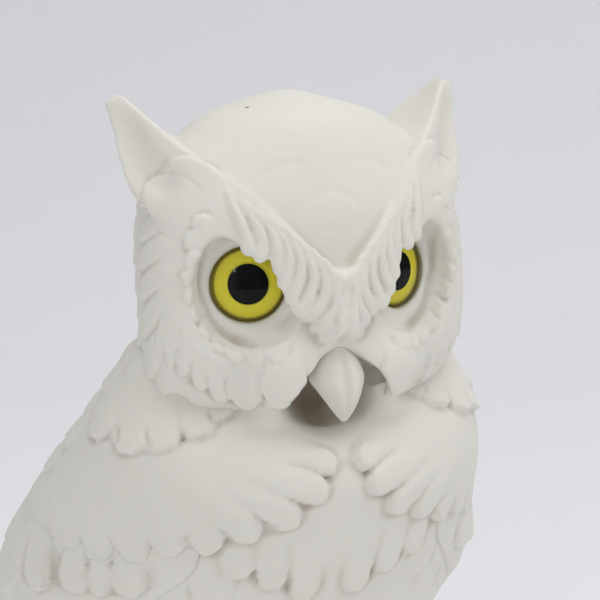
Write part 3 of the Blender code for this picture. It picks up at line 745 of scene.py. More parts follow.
class Relief:
    """Carving over a skin's vertices: plates that rise towards a rounded tip, and leaning grooves."""

    def __init__(self, points, quads):
        self.points = points
        self.quads = quads
        self.normals = normals_of(points, quads)
        self.height = np.zeros(len(points))
        self.cuts = np.zeros(len(points))
        right, up, back = camera_axes()
        rel = points - (np.array(VIEW_TARGET) + back * VIEW_DISTANCE)
        self.depth = -(rel @ back)
        focal = VIEW_PIXELS_PER_MM * VIEW_DISTANCE
        self.seen_x = IMAGE_SIZE / 2 + focal * (rel @ right) / self.depth
        self.seen_y = IMAGE_SIZE / 2 - focal * (rel @ up) / self.depth
        self.facing = (self.normals * unit(-rel)).sum(1) > 0.0

    def at(self, pixel, reach=SEEN_REACH, deep=SEEN_DEPTH):
        """Place on the skin under a pixel of the photograph, or on the nearest form in front of it."""
        away = (self.seen_x - pixel[0]) ** 2 + (self.seen_y - pixel[1]) ** 2
        near = np.nonzero(self.facing & (away < reach ** 2))[0]
        if not len(near):
            near = np.nonzero(self.facing)[0]
            return self.points[near[np.argmin(away[near])]]
        front = near[self.depth[near] < self.depth[near].min() + deep]
        return self.points[front[np.argmin(away[front])]]

    def groove(self, path, width, depth, gentle=0.0, hand=1, start=0.25, end=0.25):
        """Groove along a path, steep on one side and running out gently on the other."""
        path = np.asarray(path, float)
        length = np.linalg.norm(np.diff(path, axis=0), axis=1).sum()
        path = catmull(path, max(int(length / GROOVE_STEP), GROOVE_LEAST))
        way = unit(np.gradient(path, axis=0))
        gentle = gentle or width
        reach = GROOVE_REACH * max(width, gentle)
        near = np.all((self.points > path.min(0) - reach) & (self.points < path.max(0) + reach), axis=1)
        near = np.nonzero(near)[0]
        rel = self.points[near][:, None, :] - path[None]
        gap = (rel ** 2).sum(2)
        index = gap.argmin(1)
        row = np.arange(len(near))
        side = (np.cross(way[index], self.normals[near]) * rel[row, index]).sum(1) * hand
        share = index / (len(path) - 1)
        fade = np.ones(len(near))
        if start:
            fade = fade * smooth_step(0, start, share)
        if end:
            fade = fade * smooth_step(0, end, 1 - share)
        wide = np.where(side > 0, gentle, width)
        self.cuts[near] = np.maximum(self.cuts[near], depth * fade * np.exp(-gap[row, index] / wide ** 2))

    def feather(
        self, root, tip, half_width, rise,
        edge=0.7, shoulder=0.45, base=0.25, crown=0.15, flare=0.0, ditch=0.0,
    ):
        """One feather from root to tip; flare widens its root, ditch cuts a line round its tip."""
        root = np.asarray(root, float)
        way = np.asarray(tip, float) - root
        length = float(np.linalg.norm(way))
        along = way / length
        middle = root + 0.5 * way
        reach = FEATHER_REACH * length + (2 if flare else 1) * half_width
        away = ((self.points - middle) ** 2).sum(1)
        near = np.nonzero(away < reach ** 2)[0]
        if not len(near):
            return
        facing = self.normals[near[np.argmin(away[near])]]
        across = unit(np.cross(facing, along))
        rel = self.points[near] - root
        s = rel @ along / length
        t = rel @ across
        rooted = 1 - np.clip(s / shoulder, 0, 1)
        tapered = np.sqrt(np.clip(1 - ((s - shoulder) / (1 - shoulder)) ** 2, 0, 1))
        spread = 1 + flare * rooted if flare else 1 - ROOT_TAPER * rooted
        side = half_width * np.where(s > shoulder, tapered, spread) - np.abs(t)
        inside = np.minimum(side, TIP_SLOPE * (1 - s) * length)
        plate = rise * (base + (1 - base) * np.clip(s, 0, 1)) * (1 - crown * (t / half_width) ** 2)
        soft = edge * (1 + FLARE_SOFTENING * flare * rooted)
        plate = plate * smooth_step(0, soft, inside) * smooth_step(*ROOT_FADE, s)
        level = np.abs(rel @ facing) < half_width + 0.5 * length
        level &= self.normals[near] @ facing > FEATHER_FACING
        keep = level & (inside > 0) & (s > ROOT_FADE[0])
        if ditch:
            cover = smooth_step(0, edge, inside) * smooth_step(*DITCH_COVER, s)
            rim = level & (inside > -DITCH_REACH) & (inside <= 0) & (s > DITCH_LEAST)
            start = shoulder - DITCH_BACK if flare else DITCH_START
            line = ditch * np.exp(-((inside + DITCH_OFFSET) / DITCH_WIDTH) ** 2)
            line = line * smooth_step(start, start + DITCH_FADE, s)
            self.cuts[near[keep]] *= 1 - cover[keep]
            self.cuts[near[rim]] = np.maximum(self.cuts[near[rim]], line[rim])
        chosen = near[keep]
        self.height[chosen] = np.maximum(self.height[chosen], plate[keep])

    def applied(self):
        """Points moved out by the feather heights and in by the cuts, then smoothed once."""
        moved = self.points + self.normals * (self.height - self.cuts)[:, None]
        return relaxed(moved, neighbours(self.quads), 1)


def cavity(points, quads):
    """Hollowness at each vertex, from the curvature over two reaches; it sets how much painted shade the
    bisque gets there.
    """
    links = neighbours(quads)
    normals = normals_of(points, quads)
    smooth = points
    total = np.zeros(len(points))
    for reach in CAVITY_REACHES:
        for _ in range(reach):
            smooth = averaged(smooth, links, len(points))
        total += ((smooth - points) * normals).sum(1) / math.sqrt(reach)
    for _ in range(CAVITY_SOFTEN):
        total = averaged(total, links, len(points))
    return total


def add_piece(name, points, quads, paint, node, painted_shade_share=0.0):
    """Smooth mesh in metres with an attribute of painted shade (its curvature plus the given extra share),
    riding on the body and standing for its node.
    """
    mesh = bpy.data.meshes.new(name)
    mesh.vertices.add(len(points))
    mesh.vertices.foreach_set("co", (np.asarray(points) * MM).astype(np.float32).ravel())
    count, corners = quads.shape
    mesh.loops.add(count * corners)
    mesh.loops.foreach_set("vertex_index", quads.astype(np.int32).ravel())
    mesh.polygons.add(count)
    mesh.polygons.foreach_set("loop_start", np.arange(0, count * corners, corners, dtype=np.int32))
    mesh.update(calc_edges=True)
    mesh.validate()
    mesh.polygons.foreach_set("use_smooth", np.ones(len(mesh.polygons), bool))
    # Painted shade share: the skin's curvature plus the piece's extra painted shade
    layer = mesh.attributes.new("hollow", "FLOAT", "POINT")
    layer.data.foreach_set("value", (cavity(np.asarray(points), quads) + painted_shade_share).astype(np.float32))
    piece = bpy.data.objects.new(name, mesh)
    bpy.context.scene.collection.objects.link(piece)
    mesh.materials.append(paint)
    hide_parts(node)
    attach(piece, "root")
    return piece


def add_skin(node, points, quads, paint, painted_shade_share=0.0):
    """Bisque skin over a casting, with an optional extra share of painted shade."""
    add_piece(node + "_skin", points, quads, paint, node, painted_shade_share)


def shader_of(name):
    """New material with its node tree and Principled shader."""
    made = bpy.data.materials.new(name)
    made.use_nodes = True
    return made, made.node_tree, made.node_tree.nodes["Principled BSDF"]


def fill_inputs(tree, made, values):
    """Inputs of a node, each given as a value or as a socket to link."""
    for key, value in values.items():
        if isinstance(value, bpy.types.NodeSocket):
            tree.links.new(value, made.inputs[key])
        else:
            made.inputs[key].default_value = value


def add_node(tree, kind, values, **settings):
    """Shader node with its settings and inputs."""
    made = tree.nodes.new("ShaderNode" + kind)
    for key, value in settings.items():
        setattr(made, key, value)
    fill_inputs(tree, made, values)
    return made


def add_mix(tree, share, first, second, blend="MIX"):
    """Colour between two others by a share."""
    values = {"Factor": share, "A": first, "B": second}
    return add_node(tree, "Mix", values, data_type="RGBA", blend_type=blend).outputs["Result"]


def add_ramp(tree, share, stops):
    """Colours at places along a share."""
    made = add_node(tree, "ValToRGB", {"Fac": share})
    steps = made.color_ramp.elements
    steps[0].position = stops[0][0]
    steps[1].position = stops[-1][0]
    for place, _ in stops[1:-1]:
        steps.new(place)
    for step, (_, colour) in zip(steps, stops):
        step.color = colour
    return made.outputs["Color"]


def add_noise(tree, scale, detail=None):
    """Noise fixed to the object."""
    values = {"Vector": add_node(tree, "TexCoord", {}).outputs["Object"], "Scale": scale}
    if detail is not None:
        values["Detail"] = detail
    return add_node(tree, "TexNoise", values).outputs["Fac"]


def bisque_material():
    """Unglazed porcelain: warm white, finely grained, with painted shade in warm brown in the creases and
    undercuts, and one iron speck.
    """
    made, tree, shader = shader_of("bisque_skin")
    # Painted shade: the bisque darkens to warm brown where the mesh's shade attribute is high
    hollow = add_node(tree, "Attribute", {}, attribute_name="hollow").outputs["Fac"]
    low, high = PAINTED_SHADE_RANGE
    share = add_node(tree, "MapRange", {"Value": hollow, "From Min": low, "From Max": high})
    cloud = add_noise(tree, CLOUD_SCALE, CLOUD_DETAIL)
    base = add_mix(tree, cloud, BISQUE_DARK, BISQUE_LIGHT)
    shaded = add_mix(tree, share.outputs["Result"], base, PAINTED_SHADE_COLOUR)
    place = add_node(tree, "TexCoord", {}).outputs["Object"]
    away = add_node(tree, "VectorMath", {0: place}, operation="DISTANCE", name=SPECK_NODE).outputs["Value"]
    speck = add_node(tree, "MapRange", {"Value": away, "From Min": SPECK_RIM, "From Max": SPECK_CORE})
    bump = add_node(tree, "Bump", {
        "Strength": GRAIN_STRENGTH,
        "Distance": GRAIN_DEPTH,
        "Height": add_noise(tree, GRAIN_SCALE, GRAIN_DETAIL),
    })
    low, high = BISQUE_ROUGHNESS
    rough = add_node(tree, "MapRange", {"Value": cloud, "To Min": low, "To Max": high})
    fill_inputs(tree, shader, {
        "Base Color": add_mix(tree, speck.outputs["Result"], shaded, SPECK_COLOUR),
        "Normal": bump.outputs["Normal"],
        "Roughness": rough.outputs["Result"],
        "Specular IOR Level": BISQUE_SPECULAR,
        "Subsurface Weight": BISQUE_SUBSURFACE,
        "Subsurface Radius": BISQUE_SUBSURFACE_RADIUS,
        "Subsurface Scale": BISQUE_SUBSURFACE_SCALE,
    })
    return made


def glass_material():
    """Clear glass of the eye domes: see-through with a glossy skin."""
    made, tree, shader = shader_of("eye_glass_clear")
    tree.nodes.remove(shader)
    mixed = add_node(tree, "MixShader", {
        "Fac": add_node(tree, "Fresnel", {"IOR": GLASS_IOR}).outputs["Fac"],
        1: add_node(tree, "BsdfTransparent", {}).outputs["BSDF"],
        2: add_node(tree, "BsdfGlossy", {"Roughness": GLASS_ROUGHNESS}).outputs["BSDF"],
    })
    fill_inputs(tree, tree.nodes["Material Output"], {"Surface": mixed.outputs["Shader"]})
    return made


def iris_material():
    """Yellow enamel with faint mottling; towards its rim, painted shade of the socket darkens it to olive
    brown.
    """
    made, tree, shader = shader_of("iris_enamel")
    rim = add_node(tree, "Attribute", {}, attribute_name="rim").outputs["Fac"]
    streak = add_noise(tree, IRIS_STREAK_SCALE)
    colour = add_mix(tree, IRIS_STREAK_SHARE, add_ramp(tree, rim, IRIS_AND_SHADE_STOPS), streak, "MULTIPLY")
    fill_inputs(tree, shader, {"Base Color": colour, "Roughness": IRIS_ROUGHNESS})
    return made


def plain_material(name, colour, roughness, grain=0.0, scale=0.0, specular=None):
    """Simple finish with an optional fine grain."""
    made, tree, shader = shader_of(name)
    values = {"Base Color": (*colour, 1), "Roughness": roughness}
    if specular is not None:
        values["Specular IOR Level"] = specular
    if grain:
        height = add_noise(tree, scale)
        bump = add_node(tree, "Bump", {"Strength": grain, "Distance": PLAIN_GRAIN_DEPTH, "Height": height})
        values["Normal"] = bump.outputs["Normal"]
    fill_inputs(tree, shader, values)
    return made


def repaint(piece, paint):
    """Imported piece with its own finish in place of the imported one."""
    piece.data.materials.clear()
    piece.data.materials.append(paint)


def eye_axes(side):
    """Centre and right, up and outward axes of the eye on one side."""
    look = np.array((
        side * math.sin(EYE_YAW) * math.cos(EYE_PITCH),
        -math.cos(EYE_YAW) * math.cos(EYE_PITCH),
        math.sin(EYE_PITCH),
    ))
    right = unit(np.cross(UP, look))
    return np.array((side * EYE_CENTRE[0], EYE_CENTRE[1], EYE_CENTRE[2])), right, np.cross(look, right), look


def sided(points, side):
    """Points of the owl's left side, mirrored for a side of -1."""
    return np.asarray(points, float) * np.array((side, 1, 1))


def skull_field(field):
    """Smooth skull form as the field's first shape."""
    x = field.axes[0][:, None, None]
    y = field.axes[1][None, :, None]
    z = field.axes[2]
    rows = sections(SKULL_STATIONS, z)
    over = np.clip(z - SKULL_STATIONS[-1][0], 0, None)
    under = np.clip(SKULL_STATIONS[0][0] - z, 0, None)
    centre, half, front, back = (rows[:, k][None, None, :] for k in range(4))
    depth = np.where(y < centre, front, back)
    radial = np.sqrt((x / half) ** 2 + ((y - centre) / depth) ** 2)
    value = (radial - 1) * np.minimum(half, SKULL_SPREAD)
    value = value + (over * SKULL_CAP + under * SKULL_FOOT)[None, None, :]
    slope = np.sqrt(sum(g ** 2 for g in np.gradient(value, field.step)))
    field.value = np.clip(value / np.maximum(slope, SKULL_LEAST_SLOPE), -BAND, BAND).astype(np.float32)
    field.blur(SKULL_BLUR)


def brow_rings(side):
    """Rounded triangular sections of the brow and tuft."""
    edges = [catmull(rows, BROW_RINGS) for rows in (BROW_CREST, BROW_LIP, BROW_ROOT)]
    rings = []
    for corners in zip(*edges):
        ring = []
        for k in range(3):
            before = corners[k] - corners[k - 1]
            after = corners[(k + 1) % 3] - corners[k]
            for t in BROW_CORNER:
                ring.append(corners[k] + (after if t > 0 else before) * t)
        rings.append(ring)
    rings = sided(rings, side)
    return rings[:, ::-1] if side < 0 else rings


def torus(centre, axes, major, radial, axial, around=64, about=20):
    """Points and quads of a ring of elliptical section about the third axis."""
    right, up, look = axes
    turn = 2 * math.pi * np.arange(around) / around
    roll = 2 * math.pi * np.arange(about) / about
    out = np.cos(turn)[:, None] * right + np.sin(turn)[:, None] * up
    points = centre + out[:, None, :] * (major + radial * np.cos(roll))[None, :, None]
    points = points + look * (axial * np.sin(roll))[None, :, None]
    k, j = np.meshgrid(np.arange(around), np.arange(about), indexing="ij")
    after = (k + 1) % around
    beside = (j + 1) % about
    quads = np.stack([k * about + j, after * about + j, after * about + beside, k * about + beside], -1)
    return points.reshape(-1, 3), quads.reshape(-1, 4)


def carve_tuft(field, side):
    """Scoop along the front of an ear tuft."""
    crest = sided(catmull(BROW_CREST, SCOOP_COUNT), side)
    lip = sided(catmull(BROW_LIP, SCOOP_COUNT), side)
    scoop = []
    for k in SCOOP_SPAN:
        face = unit(np.cross(crest[k] - lip[k], crest[k] - crest[k - SCOOP_BACK]))
        face = face if face[1] < 0 else -face
        scoop.append(SCOOP_SHARE * crest[k] + (1 - SCOOP_SHARE) * lip[k] + face * SCOOP_AHEAD)
    field.capsules(scoop, np.linspace(*SCOOP_RADII, len(scoop)), SCOOP_BLEND, carve=True)


def head_forms(field):
    """Skull with orbits, lids, brows, tufts, bridge and cheeks, open under the beak and at the eyes."""
    skull_field(field)
    level = np.eye(3)
    for side in SIDES:
        centre, right, up, look = eye_axes(side)
        dish = centre + look * DISH_AHEAD - up * DISH_DROP
        field.ellipsoid(dish, (right, up, look), DISH_RADII, DISH_BLEND, carve=True)
        field.solid(*torus(centre + look * LID_AHEAD, (right, up, look), *LID_RING), LID_BLEND)
    for side in SIDES:
        field.solid(*loft_quads(brow_rings(side)), BROW_BLEND, swell=BROW_SWELL)
        carve_tuft(field, side)
    field.capsules(np.array(BRIDGE), BRIDGE_RADII, FACE_BLEND)
    for side in SIDES:
        field.ellipsoid(sided(CHEEK_CENTRE, side), level, CHEEK_RADII, FACE_BLEND)
    field.ellipsoid(CHIN_CENTRE, level, CHIN_RADII, CHIN_BLEND, carve=True)
    field.capsules(np.array(ARCH), ARCH_RADII, ARCH_BLEND, carve=True)
    for side in SIDES:
        field.ellipsoid(sided(POCKET_CENTRE, side), level, POCKET_RADII, POCKET_BLEND, carve=True)
    for side in SIDES:
        centre, _, _, look = eye_axes(side)
        ends = [centre + look * along for along in BORE_ENDS]
        field.capsules(ends, [EYE_APERTURE / 2 + BORE_PLAY] * 2, BORE_BLEND, carve=True)


def head_details(field):
    """Undercut along the cheeks' lower edge, and the strands of the brows."""
    under = Relief(*field.mesh())
    for _, path in both_sides(under, CHEEK_EDGE):
        inward = path * np.array((0.0, 1.0, 0.0)) - path
        for drop in EDGE_DROPS:
            links = path + EDGE_INWARD * inward - drop * UP
            field.capsules(links, [EDGE_RADIUS] * len(path), EDGE_BLEND, carve=True)
    share = np.linspace(0, 1, STRAND_STEPS)
    radii = np.interp(share, np.linspace(0, 1, len(STRAND_RADII)), STRAND_RADII)
    aim = np.array((0, EYE_CENTRE[1] + STRAND_AIM, EYE_CENTRE[2]))
    for pixels in BROW_STRANDS:
        for _, path in both_sides(under, pixels, *STRAND_SEEN):
            path = catmull(path, STRAND_STEPS)
            path = path + unit(aim - path) * (STRAND_SINK * radii)[:, None]
            field.capsules(path, radii, STRAND_BLEND)


def build_head(paint):
    """Head skin: its forms, then the carved feathers."""
    field = Field(HEAD_LOW, HEAD_HIGH, HEAD_STEP)
    head_forms(field)
    head_details(field)
    points, quads = field.mesh()
    relief = Relief(relaxed(points, neighbours(quads), HEAD_RELAX), quads)
    carve_face(relief)
    nape_feathers(relief)
    paint.node_tree.nodes[SPECK_NODE].inputs[1].default_value = tuple(relief.at(SPECK_PIXEL) * MM)
    points = relief.applied()
    # Painted shadow under the beak, added to the skin's painted shade
    add_skin("head", points, quads, paint, throat_painted_shade(points))


def both_sides(relief, pixels, *reach):
    """Places on the skin under the pixels, on the owl's right and mirrored to its left."""
    places = np.array([relief.at(pixel, *reach) for pixel in pixels])
    return (-1, places), (1, sided(places, -1))


def stamp(relief, rows, **options):
    """Feathers given by pixels, on both sides."""
    for root, tip, half, rise in rows:
        for _, (start, end) in both_sides(relief, (root, tip)):
            relief.feather(start, end, half, rise, **options)


def layered(relief, rows):
    """Smooth layer that ends in a row of lobes with grooves between them."""
    for root, tip, half, rise in rows:
        for _, (start, end) in both_sides(relief, (root, tip)):
            relief.feather(end + LAYER_LENGTH * (start - end), end, half, rise, **LAYER_MANNER)
    for one, other in zip(rows, rows[1:]):
        root = 0.5 * (np.array(one[0]) + other[0])
        notch = 0.5 * (np.array(one[1]) + other[1])
        pixels = [notch + share * (root - notch) for share in LAYER_CUT_SHARES]
        for _, path in both_sides(relief, pixels):
            relief.groove(path, **LAYER_CUT)


def carve_face(relief):
    """Bridge, valleys between the brow strands, crown marks, disc feathers and cheek ruff."""
    for pixels in BRIDGE_GROOVES:
        for side, path in both_sides(relief, pixels):
            relief.groove(path, hand=-side, **BRIDGE_CUT)
    strands = [catmull(pixels, VALLEY_STEPS) for pixels in BROW_STRANDS]
    for one, other in zip(strands, strands[1:]):
        for side, path in both_sides(relief, 0.5 * (one + other), *VALLEY_SEEN):
            relief.groove(path, hand=side, **VALLEY_CUT)
    for k, pixels in enumerate(CROWN_GROOVES):
        for side, path in both_sides(relief, pixels)[: 1 if k < CROWN_MIDDLE else 2]:
            relief.groove(path, hand=side, **CROWN_CUT)
    for side, path in both_sides(relief, DISH_GROOVE):
        relief.groove(path, hand=side, **DISH_CUT)
    stamp(relief, TUFT_FEATHERS, **TUFT_MANNER)
    stamp(relief, RUFF_FEATHERS, **RUFF_MANNER)
    stamp(relief, LOBE_FEATHERS, **LOBE_MANNER)
    stamp(relief, RIM_FEATHERS, **RIM_MANNER)


def nape_feathers(relief):
    """Faint shingle rows on the back of the head."""
    length, half_width, rise = NAPE_FEATHER
    first, final = np.radians(NAPE_ANGLES)
    for row, height in enumerate(NAPE_HEIGHTS):
        levels = np.array([height, height - length])
        rows = sections(SKULL_STATIONS, levels)
        count = int(math.pi * rows[0, 1] / NAPE_PITCH)
        for k in range(count + 1):
            angle = first + (final - first) * (k + 0.5 * (row % 2)) / count
            if angle > math.radians(NAPE_LAST):
                continue
            ends = []
            for (centre, half, _, back), z in zip(rows, levels):
                ends.append((half * math.cos(angle), centre + back * math.sin(angle), z))
            relief.feather(*ends, half_width, rise)


def build_torso(paint):
    """Torso skin on a grid round the body, with collar, cape and belly feathers."""
    low = TORSO_STATIONS[0][0]
    high = TORSO_STATIONS[-1][0]
    heights = low + (high - low) * (0.5 - 0.5 * np.cos(math.pi * np.linspace(0, 1, TORSO_TALL)))
    rows = sections(TORSO_STATIONS, heights)
    angles = 2 * math.pi * np.arange(TORSO_AROUND) / TORSO_AROUND
    depth = np.where(np.sin(angles)[None, :] >= 0, rows[:, 3:4], rows[:, 2:3])
    grid = np.stack([
        rows[:, 1:2] * np.cos(angles)[None, :],
        rows[:, 0:1] + depth * np.sin(angles)[None, :],
        np.repeat(heights[:, None], TORSO_AROUND, 1),
    ], -1)
    points, quads = loft_quads(grid)
    relief = Relief(points, quads)
    torso_feathers(relief)
    points = relief.applied()
    # Painted shadow under the beak, added to the skin's painted shade
    add_skin("torso", points, quads, paint, throat_painted_shade(points))


def torso_place(angle, height):
    """Point of the plain torso at an angle off the front and a height."""
    centre, half, front, back = sections(TORSO_STATIONS, np.array([height]))[0]
    turn = angle - math.pi / 2
    depth = back if math.sin(turn) >= 0 else front
    return np.array((half * math.cos(turn), centre + depth * math.sin(turn), height))


def hem_height(angle):
    """Height of the cape's hem at an angle off the front."""
    turn = abs(angle)
    return HEM_SIDE + HEM_RISE * math.exp(-turn / HEM_TURN) - HEM_BACK * max(0.0, -math.cos(turn))


def throat_painted_shade(points):
    """Painted shadow in the hollow under the beak and in the deep seam beside it."""
    hollow = soft_share(points, HOLLOW_CENTRE, HOLLOW_RADII)
    return THROAT_PAINTED_SHADE * np.maximum(hollow, soft_share(points, SEAM_CENTRE, SEAM_RADII))


def shingles(relief, row, shift, height_at, **manner):
    """Row of feathers round both sides of the torso, hanging to a height given by the angle off the front."""
    first, pitch, count, length, half, rise = row
    for side in SIDES:
        for k in range(count):
            angle = side * math.radians(first + pitch * (k + shift))
            height = height_at(angle)
            if abs(angle) <= math.pi and height >= BELLY_LOWEST:
                root = torso_place(angle, height + length)
                relief.feather(root, torso_place(angle, height), half, rise, **manner)


def torso_feathers(relief):
    """Shingle rows of the belly, hem and back, the layers seen in front, and the hollow under the beak."""
    for k, drop in enumerate(BELLY_DROPS):
        shingles(relief, BELLY_ROW, 0.5 * (k % 2), lambda angle: hem_height(angle) - drop)
    shingles(relief, HEM_ROW, 0.0, lambda angle: hem_height(angle) - HEM_DROP, **HEM_MANNER)
    for k, height in enumerate(BACK_HEIGHTS):
        shingles(relief, BACK_ROW, 0.5 * (k % 2), lambda angle: height)
    layered(relief, BELLY_FEATHERS)
    layered(relief, HEM_FEATHERS)
    layered(relief, COLLAR_FEATHERS)
    relief.cuts += HOLLOW_DEPTH * soft_share(relief.points, HOLLOW_CENTRE, HOLLOW_RADII)
    for side in SIDES:
        throat = soft_share(relief.points, sided(THROAT_CENTRE, side), THROAT_RADII)
        relief.height = np.maximum(relief.height, THROAT_RISE * throat)


def build_beak(paint):
    """Beak skin: diamond outline, blunt ridge in front."""
    rings = []
    for height, half, front, back in catmull(BEAK_ROWS, BEAK_RINGS):
        middle = 0.5 * (front + back)
        deep = 0.5 * (back - front)
        ring = []
        for angle in 2 * math.pi * np.arange(BEAK_SIDES) / BEAK_SIDES:
            c = math.cos(angle)
            d = math.sin(angle)
            across = math.copysign(abs(c) ** (2 / BEAK_SQUARE), c) * half
            along = math.copysign(abs(d) ** (2 / BEAK_SQUARE), d) * deep
            ring.append((across, max(middle + along, front + BEAK_BLUNT * half), height))
        rings.append(ring)
    points, quads = loft_quads(rings)
    points = relaxed(points, neighbours(quads), BEAK_RELAX)
    # The whole beak gets a share of painted shade, standing for the brow's shadow on it
    add_skin("beak", points, quads[:, ::-1], paint, BEAK_PAINTED_SHADE)


def wing_point(share, across, offset):
    """Points of the left wing: share down it, shares across it and offset from the torso's form."""
    high = WING_TOP + WING_COVERED
    height = high + (WING_TIP - high) * share
    share = max((WING_TOP - height) / (WING_TOP - WING_TIP), 0.0)
    section = sections(TORSO_STATIONS, np.array([height]))[0]
    widest = sections(TORSO_STATIONS, np.array([max(height, WING_HANG)]))[0]
    hang = min(max((WING_HANG - height) / (WING_HANG - WING_TIP), 0.0), 1.0)
    if hang > 0:
        section = section + (widest - section) * (1 - WING_TUCK * hang)
    ease = share ** WING_EASE
    first = WING_FRONT[0] + (WING_FRONT[1] - WING_FRONT[0]) * ease
    final = WING_BACK[0] + (WING_BACK[1] - WING_BACK[0]) * ease
    angle = np.radians(first + (final - first) * np.asarray(across))
    swell = (WING_THICKNESS - WING_EDGE) * math.sin(math.pi * (WING_SWELL[0] + WING_SWELL[1] * share))
    bulge = WING_EDGE + swell * np.sin(math.pi * np.asarray(across)) ** WING_ROUND
    reach = bulge * smooth_step(high, WING_TOP, height) if offset is None else offset
    depth = np.where(np.sin(angle) >= 0, section[3], section[2])
    x = (section[1] + reach) * np.cos(angle)
    y = section[0] + (depth + reach) * np.sin(angle)
    return np.stack([x, y, np.full_like(x, height)], -1)


def wing_ends(side, across, top, low):
    """Root and tip of a feather on the wing's outer face."""
    at = np.array([across])
    return sided((wing_point(top, at, None)[0], wing_point(low, at, None)[0]), side)


def wing_feathers(relief, side):
    """Long flight feathers, then the covert rows over them."""
    for k in range(FLIGHT_COUNT):
        across = FLIGHT_ACROSS[0] + FLIGHT_ACROSS[1] * k / (FLIGHT_COUNT - 1)
        low = FLIGHT_END - FLIGHT_STEP * abs(k - FLIGHT_LONGEST)
        ends = wing_ends(side, across, FLIGHT_TOP, low)
        relief.feather(*ends, FLIGHT_HALF[0] - FLIGHT_HALF[1] * k, FLIGHT_RISE, shoulder=FLIGHT_SHOULDER)
    for row, (top, low, count, half, rise) in enumerate(COVERT_ROWS):
        for k in range(count):
            across = (k + 0.5 + 0.5 * (row % 2)) / count
            if COVERT_SPAN[0] < across < COVERT_SPAN[1]:
                relief.feather(*wing_ends(side, across, top, low), half, rise, base=COVERT_BASE)


def build_wing(name, side, paint, coverts):
    """Wing skin with its feathers; gives the coverts placed by pixels, mirrored for the other side."""
    tall, wide = WING_GRID
    across = np.linspace(0, 1, wide)
    rings = []
    for share in np.linspace(0, 1, tall):
        outer = wing_point(share, across, None)
        rings.append(np.concatenate([outer, wing_point(share, across, WING_INNER)[::-1]]))
    points, quads = loft_quads(sided(rings, side))
    quads = outward(points, quads)
    relief = Relief(points, quads)
    wing_feathers(relief, side)
    placed = []
    for start, end, half, rise in coverts or COVERT_FEATHERS:
        if not coverts:
            start, end = relief.at(start), relief.at(end)
            placed.append((sided(start, -1), sided(end, -1), half, rise))
        relief.feather(start, end, half, rise, **COVERT_MANNER)
    add_skin(name, relief.applied(), quads, paint)
    return placed


def build_tail(paint):
    """Tail skin: five long feathers side by side."""
    along = np.array((0, math.sin(TAIL_TILT), -math.cos(TAIL_TILT)))
    out = np.array((0, math.cos(TAIL_TILT), math.sin(TAIL_TILT)))
    root = np.array(TAIL_ROOT)
    tall, around = TAIL_GRID
    turn = 2 * math.pi * np.arange(around) / around
    rings = []
    for share in np.linspace(0, 1, tall):
        half = TAIL_HALF[0] + (TAIL_HALF[1] - TAIL_HALF[0]) * share
        half = half * (1 - TAIL_END[1] * smooth_step(TAIL_END[0], 1.0, share))
        thick = 0.5 * TAIL_THICKNESS * (1 - TAIL_THINNING * share)
        bow = thick * np.sin(turn) - thick * np.cos(turn) ** 2
        middle = root + along * (TAIL_LENGTH * share)
        rings.append(middle + np.outer(half * np.cos(turn), (1, 0, 0)) + np.outer(bow, out))
    points, quads = loft_quads(rings)
    quads = outward(points, quads)
    relief = Relief(points, quads)
    for face in SIDES:
        for k in TAIL_FEATHERS:
            shift = [np.array((spacing * k * half, 0, 0)) for spacing, half in zip(TAIL_SPACING, TAIL_HALF)]
            start = root + along * TAIL_START + shift[0] + out * (face * TAIL_LIFT)
            reach = TAIL_LENGTH - TAIL_STAGGER[0] - TAIL_STAGGER[1] * abs(k)
            end = root + along * reach + shift[1] + out * face
            relief.feather(start, end, TAIL_HALF_FEATHER, TAIL_RISE[0] - TAIL_RISE[1] * abs(k), **TAIL_MANNER)
    add_skin("tail", relief.applied(), quads, paint)


def foot_field():
    """Leg and toes of the left foot, cut to sit on the stump's top."""
    field = Field(FOOT_LOW, FOOT_HIGH, FOOT_STEP)
    ankle = np.array((FOOT_X, FOOT_Y, STUMP_TOP + STUMP_DOME))
    hip = np.array((FOOT_X, FOOT_Y + HIP_BACK, HIP_HEIGHT))
    field.capsules([ankle + UP, ankle + LEG_SWELL_AT * (hip - ankle), hip], LEG_RADII, LEG_BLEND)
    steps = np.arange(TOE_STEPS)
    amount, rate, ringed = TOE_RIPPLE
    ripple = 1 + amount * np.sin(steps * rate) * (steps < ringed)
    start = ankle + UP * (TOE_RADIUS / 2)
    for turn in (-TOE_FAN, 0.0, TOE_FAN):
        ahead = np.array((math.sin(turn), -math.cos(turn), 0))
        rows = []
        for reach, arch, drop, size in TOE_PATH:
            place = start + ahead * (reach * TOE_LENGTH) + UP * (arch * TOE_ARCH - drop * TALON_DROP)
            rows.append((*place, size * TOE_RADIUS))
        rows = catmull(rows, TOE_STEPS)
        field.capsules(rows[:, :3], rows[:, 3] * TOE_SLIM * ripple, TOE_BLEND)
    _, x, y, z = field.part(FOOT_LOW, FOOT_HIGH)
    away = x ** 2 + y ** 2
    dome = np.clip(1 - away / (SEAT_REACH * STUMP_RADIUS) ** 2, SEAT_FALL, 1)
    top = STUMP_TOP + STUMP_DOME * dome - SEAT_SINK
    shelf = np.where(np.sqrt(away) < STUMP_RADIUS - SEAT_EDGE, z - top, BAND)
    field.value = np.maximum(field.value, -shelf.astype(np.float32))
    return field


